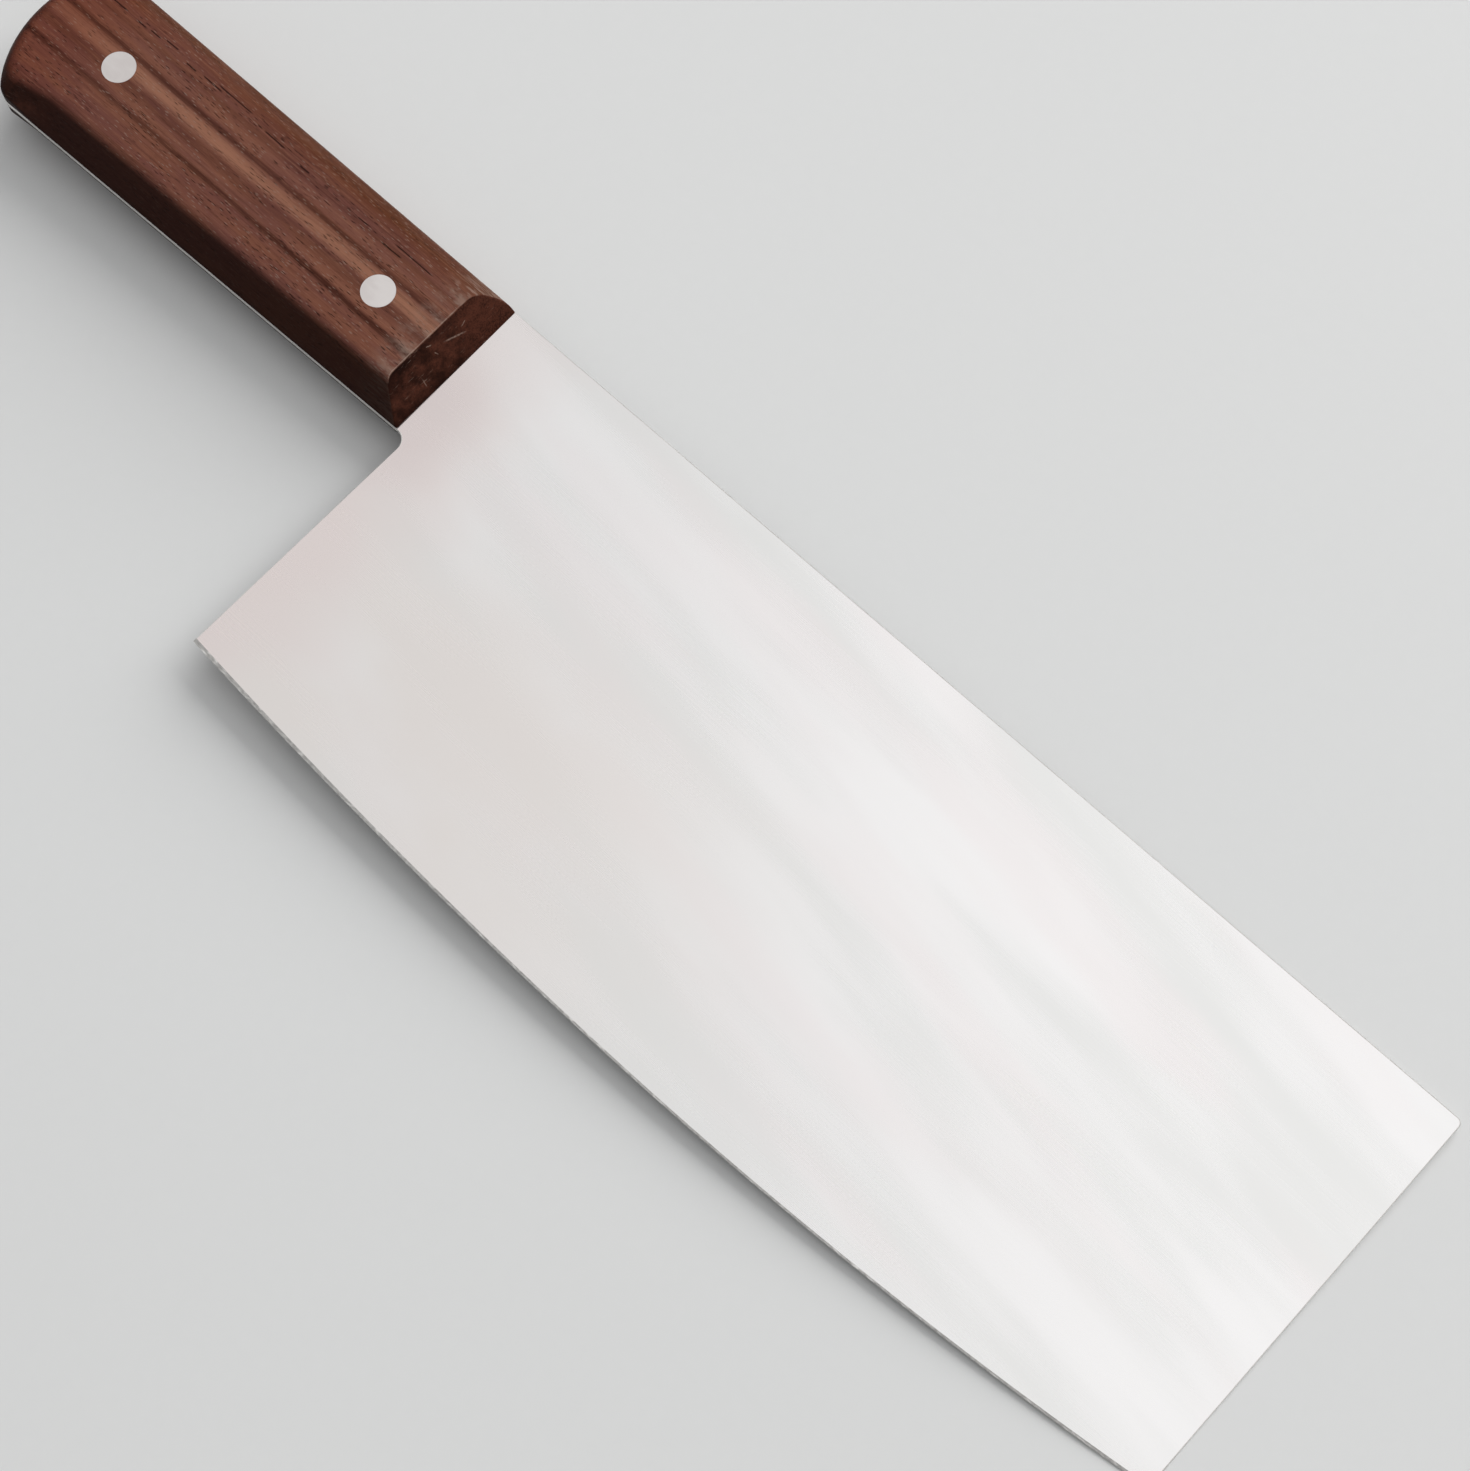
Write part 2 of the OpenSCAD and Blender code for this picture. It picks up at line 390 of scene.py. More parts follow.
@dataclass(frozen=True)
class Blade:
    """Full-tang blade with a wedge grind, a taper to the toe and a curved cutting bevel."""

    handle: Handle
    edge_l: float = 220.0
    belly_w: float = 89.0
    belly_at: float = 103.2
    heel_rise: float = 4.3
    toe_rise: float = 7.7
    spine_t: float = 2.2
    toe_t: float = 2.0
    edge_t: float = 0.3
    bevel_deg: float = 15.0
    toe_corner_r: float = 1.2
    choil_gap: float = 0.1
    choil_r: float = 2.6
    heel_lean: float = 0.9
    hole_d: float = 4.8
    arris: float = 0.22
    tang_arris: float = 0.05
    apex: float = 0.01
    steps: int = 4
    edge_steps: int = 161
    spine_steps: int = 60
    toe_steps: int = 20
    heel_steps: int = 16
    fade_steps: int = 8

    @property
    def heel_top(self) -> np.ndarray:
        """Upper end of the heel, where the inside corner's arc begins."""
        return np.array([self.choil_gap + self.choil_r, -self.handle.width - self.choil_r])

    @property
    def heel_low(self) -> np.ndarray:
        """Lower end of the heel, on the cutting edge."""
        return np.array([self.heel_top[0] - self.heel_lean, self.heel_rise - self.belly_w])

    @property
    def toe_x(self) -> float:
        """Place of the toe."""
        return float(self.heel_low[0] + self.edge_l)

    @property
    def wedge(self) -> float:
        """Slope of the ground face from the spine to the edge."""
        return (self.spine_t - self.edge_t) / 2 / self.belly_w

    @property
    def bevel_slope(self) -> float:
        """Slope of the cutting bevel."""
        return math.tan(math.radians(self.bevel_deg))

    def face_height(self, plan: np.ndarray) -> np.ndarray:
        """Height of the ground face over the middle plane.

        Formula: half the spine's thickness, less the wedge's slope times the depth under the
        spine, and less the taper's slope times the distance in front of the handle.

        Args:
            plan: Plan points.

        Returns:
            The height at each of them.
        """
        taper = (self.spine_t - self.toe_t) / 2 / self.toe_x
        return self.spine_t / 2 + self.wedge * plan[..., 1] - taper * np.maximum(plan[..., 0], 0)

    def edge_arc(self, x: np.ndarray) -> tuple[float, np.ndarray]:
        """Arc of the cutting edge on either side of its deepest point.

        Formula: an arc that leaves the deepest point level has for its radius the run squared
        plus the rise squared, over twice the rise.

        Args:
            x: Places along the blade.

        Returns:
            Place of the deepest point, and the arc's radius at each place.
        """
        belly_x = float(self.heel_low[0] + self.belly_at)
        before = x < belly_x
        run = np.where(before, self.belly_at, self.edge_l - self.belly_at)
        rise = np.where(before, self.heel_rise, self.toe_rise)
        return belly_x, (run**2 + rise**2) / (2 * rise)

    def bevel_height(self, plan: np.ndarray) -> np.ndarray:
        """Height of the cutting bevel over the middle plane.

        Formula: the distance inside the edge's arc times the bevel's slope.

        Args:
            plan: Plan points.

        Returns:
            The height at each of them.
        """
        belly_x, radius = self.edge_arc(plan[..., 0])
        reach = np.hypot(plan[..., 0] - belly_x, plan[..., 1] - (radius - self.belly_w))
        return (radius - reach) * self.bevel_slope

    def edge_line(self, x: np.ndarray) -> np.ndarray:
        """Points of the cutting edge.

        Formula: the lower half of the arc's circle, whose lowest point is the belly.

        Args:
            x: Places along the blade.

        Returns:
            The edge's point at each place.
        """
        belly_x, radius = self.edge_arc(x)
        y = radius - self.belly_w - np.sqrt(radius**2 - (x - belly_x) ** 2)
        return np.column_stack([x, y])

    def bevel_width(self, edge: np.ndarray) -> np.ndarray:
        """Width of the bevel: the face's height there over the difference of the two slopes."""
        return self.face_height(edge) / (self.bevel_slope - self.wedge)

    def wall_rows(self, plan: np.ndarray, arris: np.ndarray) -> np.ndarray:
        """Rows from the face over a rounded arris down to the middle of the wall.

        Formula: a quarter circle of the arris radius, inset by one less sine and dropped by
        one less cosine, and then the wall straight down.

        Args:
            plan: Outline points.
            arris: Radius at each of them.

        Returns:
            Array of rows, points and coordinates.
        """
        inwards, turn = path_normals(plan), np.radians(np.linspace(0, 90, self.steps + 1))
        inset = np.outer(1 - np.sin(turn), arris)[..., None]
        spots = plan + inset * inwards
        top = self.face_height(plan + arris[:, None] * inwards)
        heights = top - np.outer(1 - np.cos(turn), arris)
        rows = np.concatenate([spots, heights[..., None]], axis=-1)
        foot = np.concatenate([plan, np.zeros((len(plan), 1))], axis=-1)
        return np.concatenate([rows, foot[None]])

    def slope_rows(self, inner: np.ndarray, outer: np.ndarray, drop: np.ndarray) -> np.ndarray:
        """Rows straight from inner points on the face down to outer points on the outline.

        Args:
            inner: Plan points where the slope leaves the face.
            outer: Outline points.
            drop: Height of the slope's outer end.

        Returns:
            Array of rows, points and coordinates.
        """
        share = np.linspace(0, 1, self.steps + 1)[:, None, None]
        high = np.column_stack([inner, self.face_height(inner)])
        low = np.column_stack([outer, drop])
        foot = np.column_stack([outer, np.zeros(len(outer))])
        return np.concatenate([high + share * (low - high), foot[None]])

    def corner_inside(self, corner: np.ndarray, wall: np.ndarray, width: float) -> np.ndarray:
        """Point of the face inside a corner of the edge.

        Formula: where the line at the arris radius from the wall meets the line at the
        bevel's width from the edge.

        Args:
            corner: The corner.
            wall: Unit normal of the wall, inwards.
            width: Width of the bevel there.

        Returns:
            The point in plan.
        """
        edge_in = np.array([0.0, 1.0])
        lines = np.array([wall, edge_in])
        return corner + np.linalg.solve(lines, np.array([self.arris, width]))

    def fan_rows(self, inside: np.ndarray, outer: np.ndarray) -> np.ndarray:
        """Rows from one point of the face out to the outline beside a corner of the edge.

        Args:
            inside: The point inside the corner.
            outer: Outline points that cross the bevel's end.

        Returns:
            Array of rows, points and coordinates.
        """
        drop = np.clip(self.bevel_height(outer), self.apex, None)
        return self.slope_rows(np.repeat(inside[None], len(outer), axis=0), outer, drop)

    def front_outline(self, low: float) -> np.ndarray:
        """Outline along the spine and down the toe.

        Args:
            low: Place across the blade at which the bevel begins.

        Returns:
            Its points.
        """
        toe, r = self.toe_x, self.toe_corner_r
        return np.vstack([
            lifted(np.linspace(0, toe - r, self.spine_steps), 0.0)[:-1],
            arc(np.array([toe - r, -r]), r, 90, 0, 9),
            np.column_stack([np.full(self.toe_steps, toe), np.linspace(-r - 1, low, self.toe_steps)]),
        ])

    def back_outline(self, low: np.ndarray) -> np.ndarray:
        """Outline up the heel and through the inside corner to the tang.

        Args:
            low: Point of the heel at which the bevel ends.

        Returns:
            Its points.
        """
        climb = np.linspace(0, 1, self.heel_steps)[:-1, None]
        corner = np.array([self.choil_gap, self.heel_top[1]])
        return np.vstack([
            low + climb * (self.heel_top - low),
            arc(corner, self.choil_r, 0, 90, 17),
            [[0.0, -self.handle.width]],
        ])

    def upper_half(self) -> list[np.ndarray]:
        """Rows of the upper half round the whole outline.

        Formula: walls drop from the face over a rounded arris, and the bevel slopes from the
        face straight to the edge. Beside the edge's two corners the slope fans out.

        Returns:
            The rows of spine and toe, toe corner, edge, heel corner, heel, and tang.
        """
        lean = unit(self.heel_top - self.heel_low)
        edge = self.edge_line(np.linspace(self.toe_x, self.heel_low[0], self.edge_steps))
        widths = self.bevel_width(edge)
        toe_in = self.corner_inside(edge[0], np.array([-1.0, 0.0]), float(widths[0]))
        heel_in = self.corner_inside(edge[-1], np.array([lean[1], -lean[0]]), float(widths[-1]))
        share = np.linspace(0, 1, 5)[:, None]
        toe_zone = edge[0] + share[::-1] * np.array([0.0, widths[0]])
        heel_zone = edge[-1] + share * lean * widths[-1]
        inner = edge[1:-1] + path_normals(edge)[1:-1] * widths[1:-1, None]
        front, back = self.front_outline(toe_zone[0, 1]), self.back_outline(heel_zone[-1])
        rail = self.handle.rail((0, 0, 0), self.handle.corner_r)
        tang = np.vstack([back[-1:], *(q[1:] for q in reversed_rail(rail))])
        front_arris = np.full(len(front), self.arris)
        front_arris[0] = self.tang_arris
        back_arris = np.interp(
            np.arange(len(back)), [0, len(back) - self.fade_steps, len(back) - 1],
            [self.arris, self.arris, self.tang_arris])
        return [
            self.wall_rows(front, front_arris),
            self.fan_rows(toe_in, toe_zone),
            self.slope_rows(inner, edge[1:-1], np.full(len(inner), self.apex)),
            self.fan_rows(heel_in, heel_zone),
            self.wall_rows(back, back_arris),
            self.wall_rows(tang, np.full(len(tang), self.tang_arris))[:, 1:],
        ]

    def shell(self) -> Shell:
        """The blade as a closed surface: both faces, the walls, the bevels and the holes.

        Returns:
            The surface.
        """
        shell, stretches = Shell(), self.upper_half()
        bevel, wall = (Slot.BEVEL, Patch.BEVEL), (Slot.WALL, Patch.ROUND)
        looks = (wall, bevel, bevel, bevel, wall, wall)
        for rows, following, look in zip(stretches, stretches[1:] + stretches[:1], looks):
            closed = np.concatenate([rows, following[:, :1]], axis=1)
            shell.grid(closed, *look)
            shell.grid(closed * TURN_OVER, *look)
        rim = [rows[0] for rows in stretches]
        face, tang = np.vstack(rim[:5]), np.vstack([rim[4][-1:], rim[5], rim[0][:1]])
        plans = [ring(c, self.hole_d / 2) for c in self.handle.rivets]
        holes = [lifted(q, self.face_height(q)) for q in plans]
        for side in (np.ones(3), TURN_OVER):
            shell.fill([face * side], Slot.MAIN, Patch.FACE)
            shell.fill([tang * side, *(q * side for q in holes)], Slot.MAIN, Patch.FACE)
        for q in holes:
            shell.grid(np.stack([q, q * TURN_OVER]), Slot.WALL, Patch.INSIDE, closed=True)
        return shell


def reversed_rail(stretches: list[np.ndarray]) -> list[np.ndarray]:
    """The handle's outline from the edge side's foot round to the spine's foot."""
    return [q[::-1] for q in reversed(stretches)]


@dataclass(frozen=True)
class SideSection:
    """Section across one side of a scale: upright land, slanted flank and rounds."""

    land: float
    flank: float
    low_r: float
    top_r: float
    depth: float

    def rounds(self, top: float) -> tuple[np.ndarray, np.ndarray]:
        """The round between land and flank and the one between flank and flat."""
        foot, low, high, end = (0, 0), (0, self.land), (self.flank, top), (self.depth + 9, top)
        return fillet(foot, low, high, self.low_r, 7), fillet(low, high, end, self.top_r, 10)


@dataclass(frozen=True)
class ButtSection:
    """Section through the butt of a scale: upright wall and one quarter round."""

    edge_r: float = 4.0
    depth: float = 6.0

    def rounds(self, top: float) -> tuple[np.ndarray, np.ndarray]:
        """The first third and the rest of the quarter circle under the flat."""
        centre = np.array([self.edge_r, top - self.edge_r])
        return arc(centre, self.edge_r, 180, 150, 7), arc(centre, self.edge_r, 140, 90, 10)


@dataclass(frozen=True)
class Scale:
    """Wooden scale: one shaped surface lofted round the handle, with a bevelled front."""

    handle: Handle
    blade: Blade
    spine_side: SideSection = SideSection(3.1, 4.0, 4.5, 5.0, 7.2)
    under_side: SideSection = SideSection(1.3, 4.7, 0.5, 3.0, 6.8)
    butt: ButtSection = ButtSection()
    inner_corner_r: float = 5.0
    to_corner: float = 7.0
    past_corner: float = 6.0
    front_bevel: float = 5.7
    front_round: float = 0.28
    foot_rows: int = 3
    foot_ease: float = 0.05
    head_hole_d: float = 6.64
    shank_hole_d: float = 4.8
    head_t: float = 3.2

    def front_x(self, z: np.ndarray) -> np.ndarray:
        """Place of the front bevel, which leans back evenly above the face.

        Args:
            z: Heights over the middle plane.

        Returns:
            The place at each height.
        """
        half_t = self.blade.spine_t / 2
        lean = self.front_bevel / (self.handle.half_height - half_t)
        return -np.maximum(z - half_t, 0) * lean

    def section_shares(self, section: SideSection | ButtSection) -> np.ndarray:
        """Section as shares of its depth and heights, with the same number of points for all.

        Args:
            section: The section across a side or through the butt.

        Returns:
            Rows of inset over depth, and height.
        """
        top = self.handle.half_height
        low, high = section.rounds(top)
        flank = low[-1] + np.linspace(0, 1, 4)[1:-1, None] * (high[0] - low[-1])
        line = np.vstack([low, flank, high, [[section.depth, top]]])
        return line * np.array([1 / section.depth, 1])

    def sections(self, walked: np.ndarray, first: float, last: float) -> np.ndarray:
        """Section at each station round the handle.

        Formula: a smooth step round the first corner turns the spine side's section into the
        butt's, and one round the second corner turns that into the edge side's.

        Args:
            walked: Distance of each station along the outline.
            first: Distance at which the spine side ends.
            last: Distance at which the edge side begins.

        Returns:
            Array of stations, section points, and share of the depth and height.
        """
        to_butt = smoothstep(walked, first - self.to_corner, first + self.past_corner)
        to_under = smoothstep(walked, last - self.past_corner, last + self.to_corner)
        to_butt, to_under = to_butt[:, None, None], to_under[:, None, None]
        spine, butt, under = (
            self.section_shares(s)[None] for s in (self.spine_side, self.butt, self.under_side))
        return (spine * (1 - to_butt) + butt * to_butt) * (1 - to_under) + under * to_under

    def foot(self, rail: np.ndarray, inwards: np.ndarray, wall_foot: np.ndarray) -> np.ndarray:
        """The rows with which the wood stands on the tang, its edge barely eased.

        Args:
            rail: Outline of the handle.
            inwards: Unit steps from it to the inner rail.
            wall_foot: Height at which the section begins, at each station.

        Returns:
            Array of stations, rows and coordinates.
        """
        face = self.blade.face_height(rail)[:, None]
        ease = np.minimum((wall_foot[:, None] - face) * 0.3, self.foot_ease)
        return np.stack([
            np.hstack([rail + inwards * ease, face]),
            np.hstack([rail, face + ease]),
            np.hstack([rail, np.maximum(face + 1.5 * ease, self.blade.spine_t / 2)]),
        ], axis=1)

    def loft(self) -> np.ndarray:
        """The shaped surface from the spine's foot round the butt to the other foot.

        Formula: each point lies between an outer and an inner rail at the section's share of
        the way, at the section's height. The front stations lean with the bevel.

        Returns:
            Array of stations, section points and coordinates.
        """
        outer = self.handle.rail((0, 0, 0), self.handle.corner_r)
        depths = (self.spine_side.depth, self.butt.depth, self.under_side.depth)
        p, q = joined(outer), joined(self.handle.rail(depths, self.inner_corner_r))
        n = len(outer[0])
        walked = np.concatenate([[0], np.cumsum(np.linalg.norm(np.diff(p, axis=0), axis=1))])
        section = self.sections(walked, walked[n - 1], walked[-n])
        plan = p[:, None] + (q - p)[:, None] * section[..., :1]
        above = np.concatenate([plan, section[..., 1:]], axis=-1)
        body = np.concatenate([self.foot(p, unit(q - p), section[:, 0, 1]), above], axis=1)
        share = np.zeros(len(p))
        share[:n] = 1 - p[:n, 0] / p[n - 1, 0]
        share[-n:] = 1 - p[-n:, 0] / p[-n, 0]
        slant = np.where(np.arange(len(p)) < n, 0, math.tan(self.handle.flare_angle))
        shift = share[:, None] * (self.front_x(body[..., 2]) - self.front_round)
        body[..., 0] += shift
        body[..., 1] += shift * slant[:, None]
        return body

    def front_strip(self, loft: np.ndarray) -> np.ndarray:
        """The narrow round between the shaped surface and the front bevel.

        Formula: a quadratic curve from a point on the surface, by the sharp corner, to a
        point as far inside the bevel, in a row for each of its steps.

        Args:
            loft: The shaped surface.

        Returns:
            Array of steps, points across the front and coordinates.
        """
        back = np.vstack([loft[0], self.flat_front(loft)[1:-1], loft[-1][::-1]])
        n, foot = loft.shape[1], self.foot_rows
        across = np.clip(-back[n:-n, 1] / self.handle.width, 0, 1)
        slant = np.concatenate([np.zeros(n), across, np.ones(n)]) * math.tan(self.handle.flare_angle)
        forwards = np.column_stack([np.ones(len(back)), slant, np.zeros(len(back))])
        corner = back + forwards * self.front_round
        along = unit(np.gradient(corner[:, 1:], axis=0))
        inside = corner[:, 1:] + self.front_round * np.column_stack([-along[:, 1], along[:, 0]])
        inside[:foot, 1], inside[-foot:, 1] = corner[:foot, 2], corner[-foot:, 2]
        inside[:foot, 0], inside[-foot:, 0] = inside[foot - 1, 0], inside[-foot, 0]
        face = self.blade.face_height(np.column_stack([corner[:, 0], inside[:, 0]]))
        inside[:, 1] = np.maximum(inside[:, 1], face)
        front = np.column_stack([self.front_x(inside[:, 1]), inside])
        t = np.linspace(0, 1, 6)[:, None, None]
        return (1 - t) ** 2 * back + 2 * t * (1 - t) * corner + t**2 * front

    def flat_front(self, loft: np.ndarray) -> np.ndarray:
        """Points across the front of the flat, from the spine's side to the edge's."""
        share = np.linspace(0, 1, 11)[:, None]
        return loft[0, -1] * (1 - share) + loft[-1, -1] * share

    def shell(self) -> Shell:
        """The upper scale as a closed surface, with its stepped rivet holes.

        Returns:
            The surface.
        """
        shell, loft = Shell(), self.loft()
        strip = self.front_strip(loft)
        shell.grid(loft, Slot.MAIN, Patch.ROUND)
        shell.grid(strip, Slot.MAIN, Patch.ROUND)
        flat = np.vstack([loft[:, -1], self.flat_front(loft)[::-1][1:-1]])
        bottom = np.vstack([strip[::-1, 0][:-1], loft[:, 0], strip[:, -1][1:]])
        end = strip[-1]
        shell.fill([end[:-2]], Slot.MAIN, Patch.END, drop=0)
        shell.fill([end[[0, -3, -2, -1]]], Slot.MAIN, Patch.INSIDE, drop=0)
        top, seat = self.handle.half_height, self.handle.half_height - self.head_t
        wide = [ring(c, self.head_hole_d / 2) for c in self.handle.rivets]
        tight = [ring(c, self.shank_hole_d / 2) for c in self.handle.rivets]
        feet = [lifted(q, self.blade.face_height(q)) for q in tight]
        shell.fill([flat, *(lifted(q, top) for q in wide)], Slot.MAIN, Patch.FACE)
        shell.fill([bottom, *feet], Slot.MAIN, Patch.INSIDE)
        for outer, inner, foot in zip(wide, tight, feet):
            wall = np.stack([lifted(outer, top), lifted(outer, seat), lifted(inner, seat), foot])
            shell.grid(wall, Slot.MAIN, Patch.INSIDE, closed=True)
        return shell


# Materials

@dataclass
class Nodes:
    """A node tree under construction, with short ways to lay down and join its nodes."""

    tree: bpy.types.NodeTree

    def node(self, kind: str, settings: dict | None = None, **inputs: Value) -> bpy.types.Node:
        """Adds a node.

        Args:
            kind: Blender's name for the node.
            settings: Its own settings.
            **inputs: Values or outputs for its sockets, with underscores for spaces.

        Returns:
            The node.
        """
        made = self.tree.nodes.new(kind)
        for key, value in (settings or {}).items():
            setattr(made, key, value)
        for key, value in inputs.items():
            self.put(made.inputs[key.replace("_", " ")], value)
        return made

    def put(self, socket: Socket, value: Value) -> None:
        """Joins an output to a socket, or sets the socket's value.

        Args:
            socket: The socket.
            value: Another node's output, or a number, vector or colour.
        """
        if isinstance(value, Socket):
            self.tree.links.new(value, socket)
        else:
            socket.default_value = value

    def math(self, operation: str, a: Value, b: Value = 0.0) -> Socket:
        """One sum on two numbers.

        Args:
            operation: Blender's name for the sum.
            a: First number.
            b: Second number.

        Returns:
            The result.
        """
        made = self.node("ShaderNodeMath", {"operation": operation})
        self.put(made.inputs[0], a)
        self.put(made.inputs[1], b)
        return made.outputs[0]

    def times(self, *factors: Value) -> Socket:
        """Product of two or more numbers."""
        return reduce(partial(self.math, "MULTIPLY"), factors)

    def plus(self, *terms: Value) -> Socket:
        """Sum of two or more numbers."""
        return reduce(partial(self.math, "ADD"), terms)

    def most(self, *values: Value) -> Socket:
        """Largest of two or more numbers."""
        return reduce(partial(self.math, "MAXIMUM"), values)

    def off(self, value: Value, middle: float) -> Socket:
        """Distance of a number from a middle, without its sign."""
        return self.math("ABSOLUTE", self.plus(value, -middle))

    def ramp(
        self, value: Value, low: float, high: float, start: float = 0.0, end: float = 1.0
    ) -> Socket:
        """A number eased from one end of a range to the other.

        Args:
            value: The number that is read.
            low: Where the easing begins; it may be above where it ends.
            high: Where the easing ends.
            start: Result up to the beginning.
            end: Result past the end.

        Returns:
            The eased number.
        """
        made = self.node(
            "ShaderNodeMapRange", {"interpolation_type": "SMOOTHSTEP"}, Value=value,
            From_Min=low, From_Max=high, To_Min=start, To_Max=end)
        return made.outputs[0]

    def mix(self, share: Value, a: Value, b: Value, mode: str = "MIX") -> Socket:
        """One colour laid over another.

        Args:
            share: How much of the upper colour shows.
            a: The lower colour.
            b: The upper colour.
            mode: Blender's name for the way in which they mix.

        Returns:
            The mixed colour.
        """
        made = self.node("ShaderNodeMix", {"data_type": "RGBA", "blend_type": mode})
        self.put(made.inputs[0], share)
        self.put(made.inputs[6], a)
        self.put(made.inputs[7], b)
        return made.outputs[2]

    def separate(self, vector: Value) -> list[Socket]:
        """The three numbers of a vector."""
        return list(self.node("ShaderNodeSeparateXYZ", Vector=vector).outputs)

    def vector(self, x: Value, y: Value, z: Value) -> Socket:
        """A vector of three numbers."""
        return self.node("ShaderNodeCombineXYZ", X=x, Y=y, Z=z).outputs[0]

    def seen_directly(self) -> Socket:
        """1 where the camera looks, or looks by way of metal or glass, and 0 for other light."""
        path = self.node("ShaderNodeLightPath").outputs
        return self.most(*(path[f"Is {ray} Ray"] for ray in ("Camera", "Transmission", "Glossy")))


class Finish(Nodes):
    """A material under construction."""

    def __init__(self, name: str) -> None:
        """Starts with an empty node tree that has one shader.

        Args:
            name: Name of the material.
        """
        self.material = bpy.data.materials.new(name)
        self.material.use_nodes = True
        super().__init__(self.material.node_tree)
        self.tree.nodes.clear()
        self.shader = self.node("ShaderNodeBsdfPrincipled")
        self.output = self.node("ShaderNodeOutputMaterial", Surface=self.shader.outputs[0])

    def position(self, scale: Triple = (1, 1, 1), shift: Triple = (0, 0, 0)) -> Socket:
        """Place on the knife in millimetres, in the knife's own axes.

        Args:
            scale: Factor along each axis.
            shift: What is then added along each axis.

        Returns:
            The place.
        """
        place = self.node("ShaderNodeTexCoord").outputs["Object"]
        to_mm = (1 / MM, 1 / MM, 1 / MM)
        return self.placed(self.placed(place, to_mm, tuple(FRAME_ORIGIN)), scale, shift)

    def placed(self, vector: Value, scale: Triple, shift: Triple = (0, 0, 0)) -> Socket:
        """A vector times a scale, plus a shift."""
        return self.node("ShaderNodeMapping", Vector=vector, Location=shift, Scale=scale).outputs[0]

    def turned(self, vector: Value, angle: float) -> Socket:
        """A vector turned round the Z axis."""
        return self.node("ShaderNodeMapping", Vector=vector, Rotation=(0, 0, angle)).outputs[0]

    def noise(self, vector: Value, detail: float = 2.0, rough: float = 0.5) -> Socket:
        """Cloudy numbers from 0 to 1."""
        return self.node(
            "ShaderNodeTexNoise", Vector=vector, Scale=1.0, Detail=detail, Roughness=rough
        ).outputs[0]

    def dashes(self, vector: Value, wide: float, narrow: float) -> Socket:
        """Spots scattered one to a cell: 1 inside the narrow radius and 0 past the wide one."""
        cells = self.node("ShaderNodeTexVoronoi", Vector=vector, Scale=1.0).outputs["Distance"]
        return self.ramp(cells, wide, narrow)

    def facing(self) -> list[Socket]:
        """The three numbers of the surface's own direction."""
        return self.separate(self.node("ShaderNodeNewGeometry").outputs["Normal"])

    def bumps(
        self, height: Value, depth: float, strength: float = 1.0, under: Socket | None = None
    ) -> Socket:
        """Normal of a surface with small heights on it.

        Args:
            height: The heights, from 0 to 1.
            depth: How deep they are, in millimetres.
            strength: How much of them shows.
            under: Normal of other heights on which they lie.

        Returns:
            The normal.
        """
        made = self.node("ShaderNodeBump", Height=height, Distance=depth * MM, Strength=strength)
        if under is not None:
            self.put(made.inputs["Normal"], under)
        return made.outputs[0]

    def finish(
        self, colour: Value, rough: Value, normal: Socket, metal: float = 0.0, shine: float = 0.5
    ) -> bpy.types.Material:
        """Joins the results to the shader.

        Args:
            colour: Base colour.
            rough: Roughness.
            normal: Normal with the small heights on it.
            metal: 1 for a metal.
            shine: Strength of the mirror-like layer of what is no metal.

        Returns:
            The finished material.
        """
        self.put(self.shader.inputs["Base Color"], colour)
        self.put(self.shader.inputs["Roughness"], rough)
        self.put(self.shader.inputs["Normal"], normal)
        self.shader.inputs["Metallic"].default_value = metal
        self.shader.inputs["Specular IOR Level"].default_value = shine
        return self.material


def tone(red: int, green: int, blue: int) -> Colour:
    """A colour as written on a screen, turned into linear light.

    Args:
        red: Red, from 0 to 255.
        green: Green.
        blue: Blue.

    Returns:
        The colour with its cover of 1.
    """
    c = np.array([red, green, blue]) / 255
    linear = np.where(c <= 0.04045, c / 12.92, ((c + 0.055) / 1.055) ** 2.4)
    return (*linear.tolist(), 1.0)


WHITE = tone(255, 255, 255)
BACKDROP = tone(214, 214, 214)


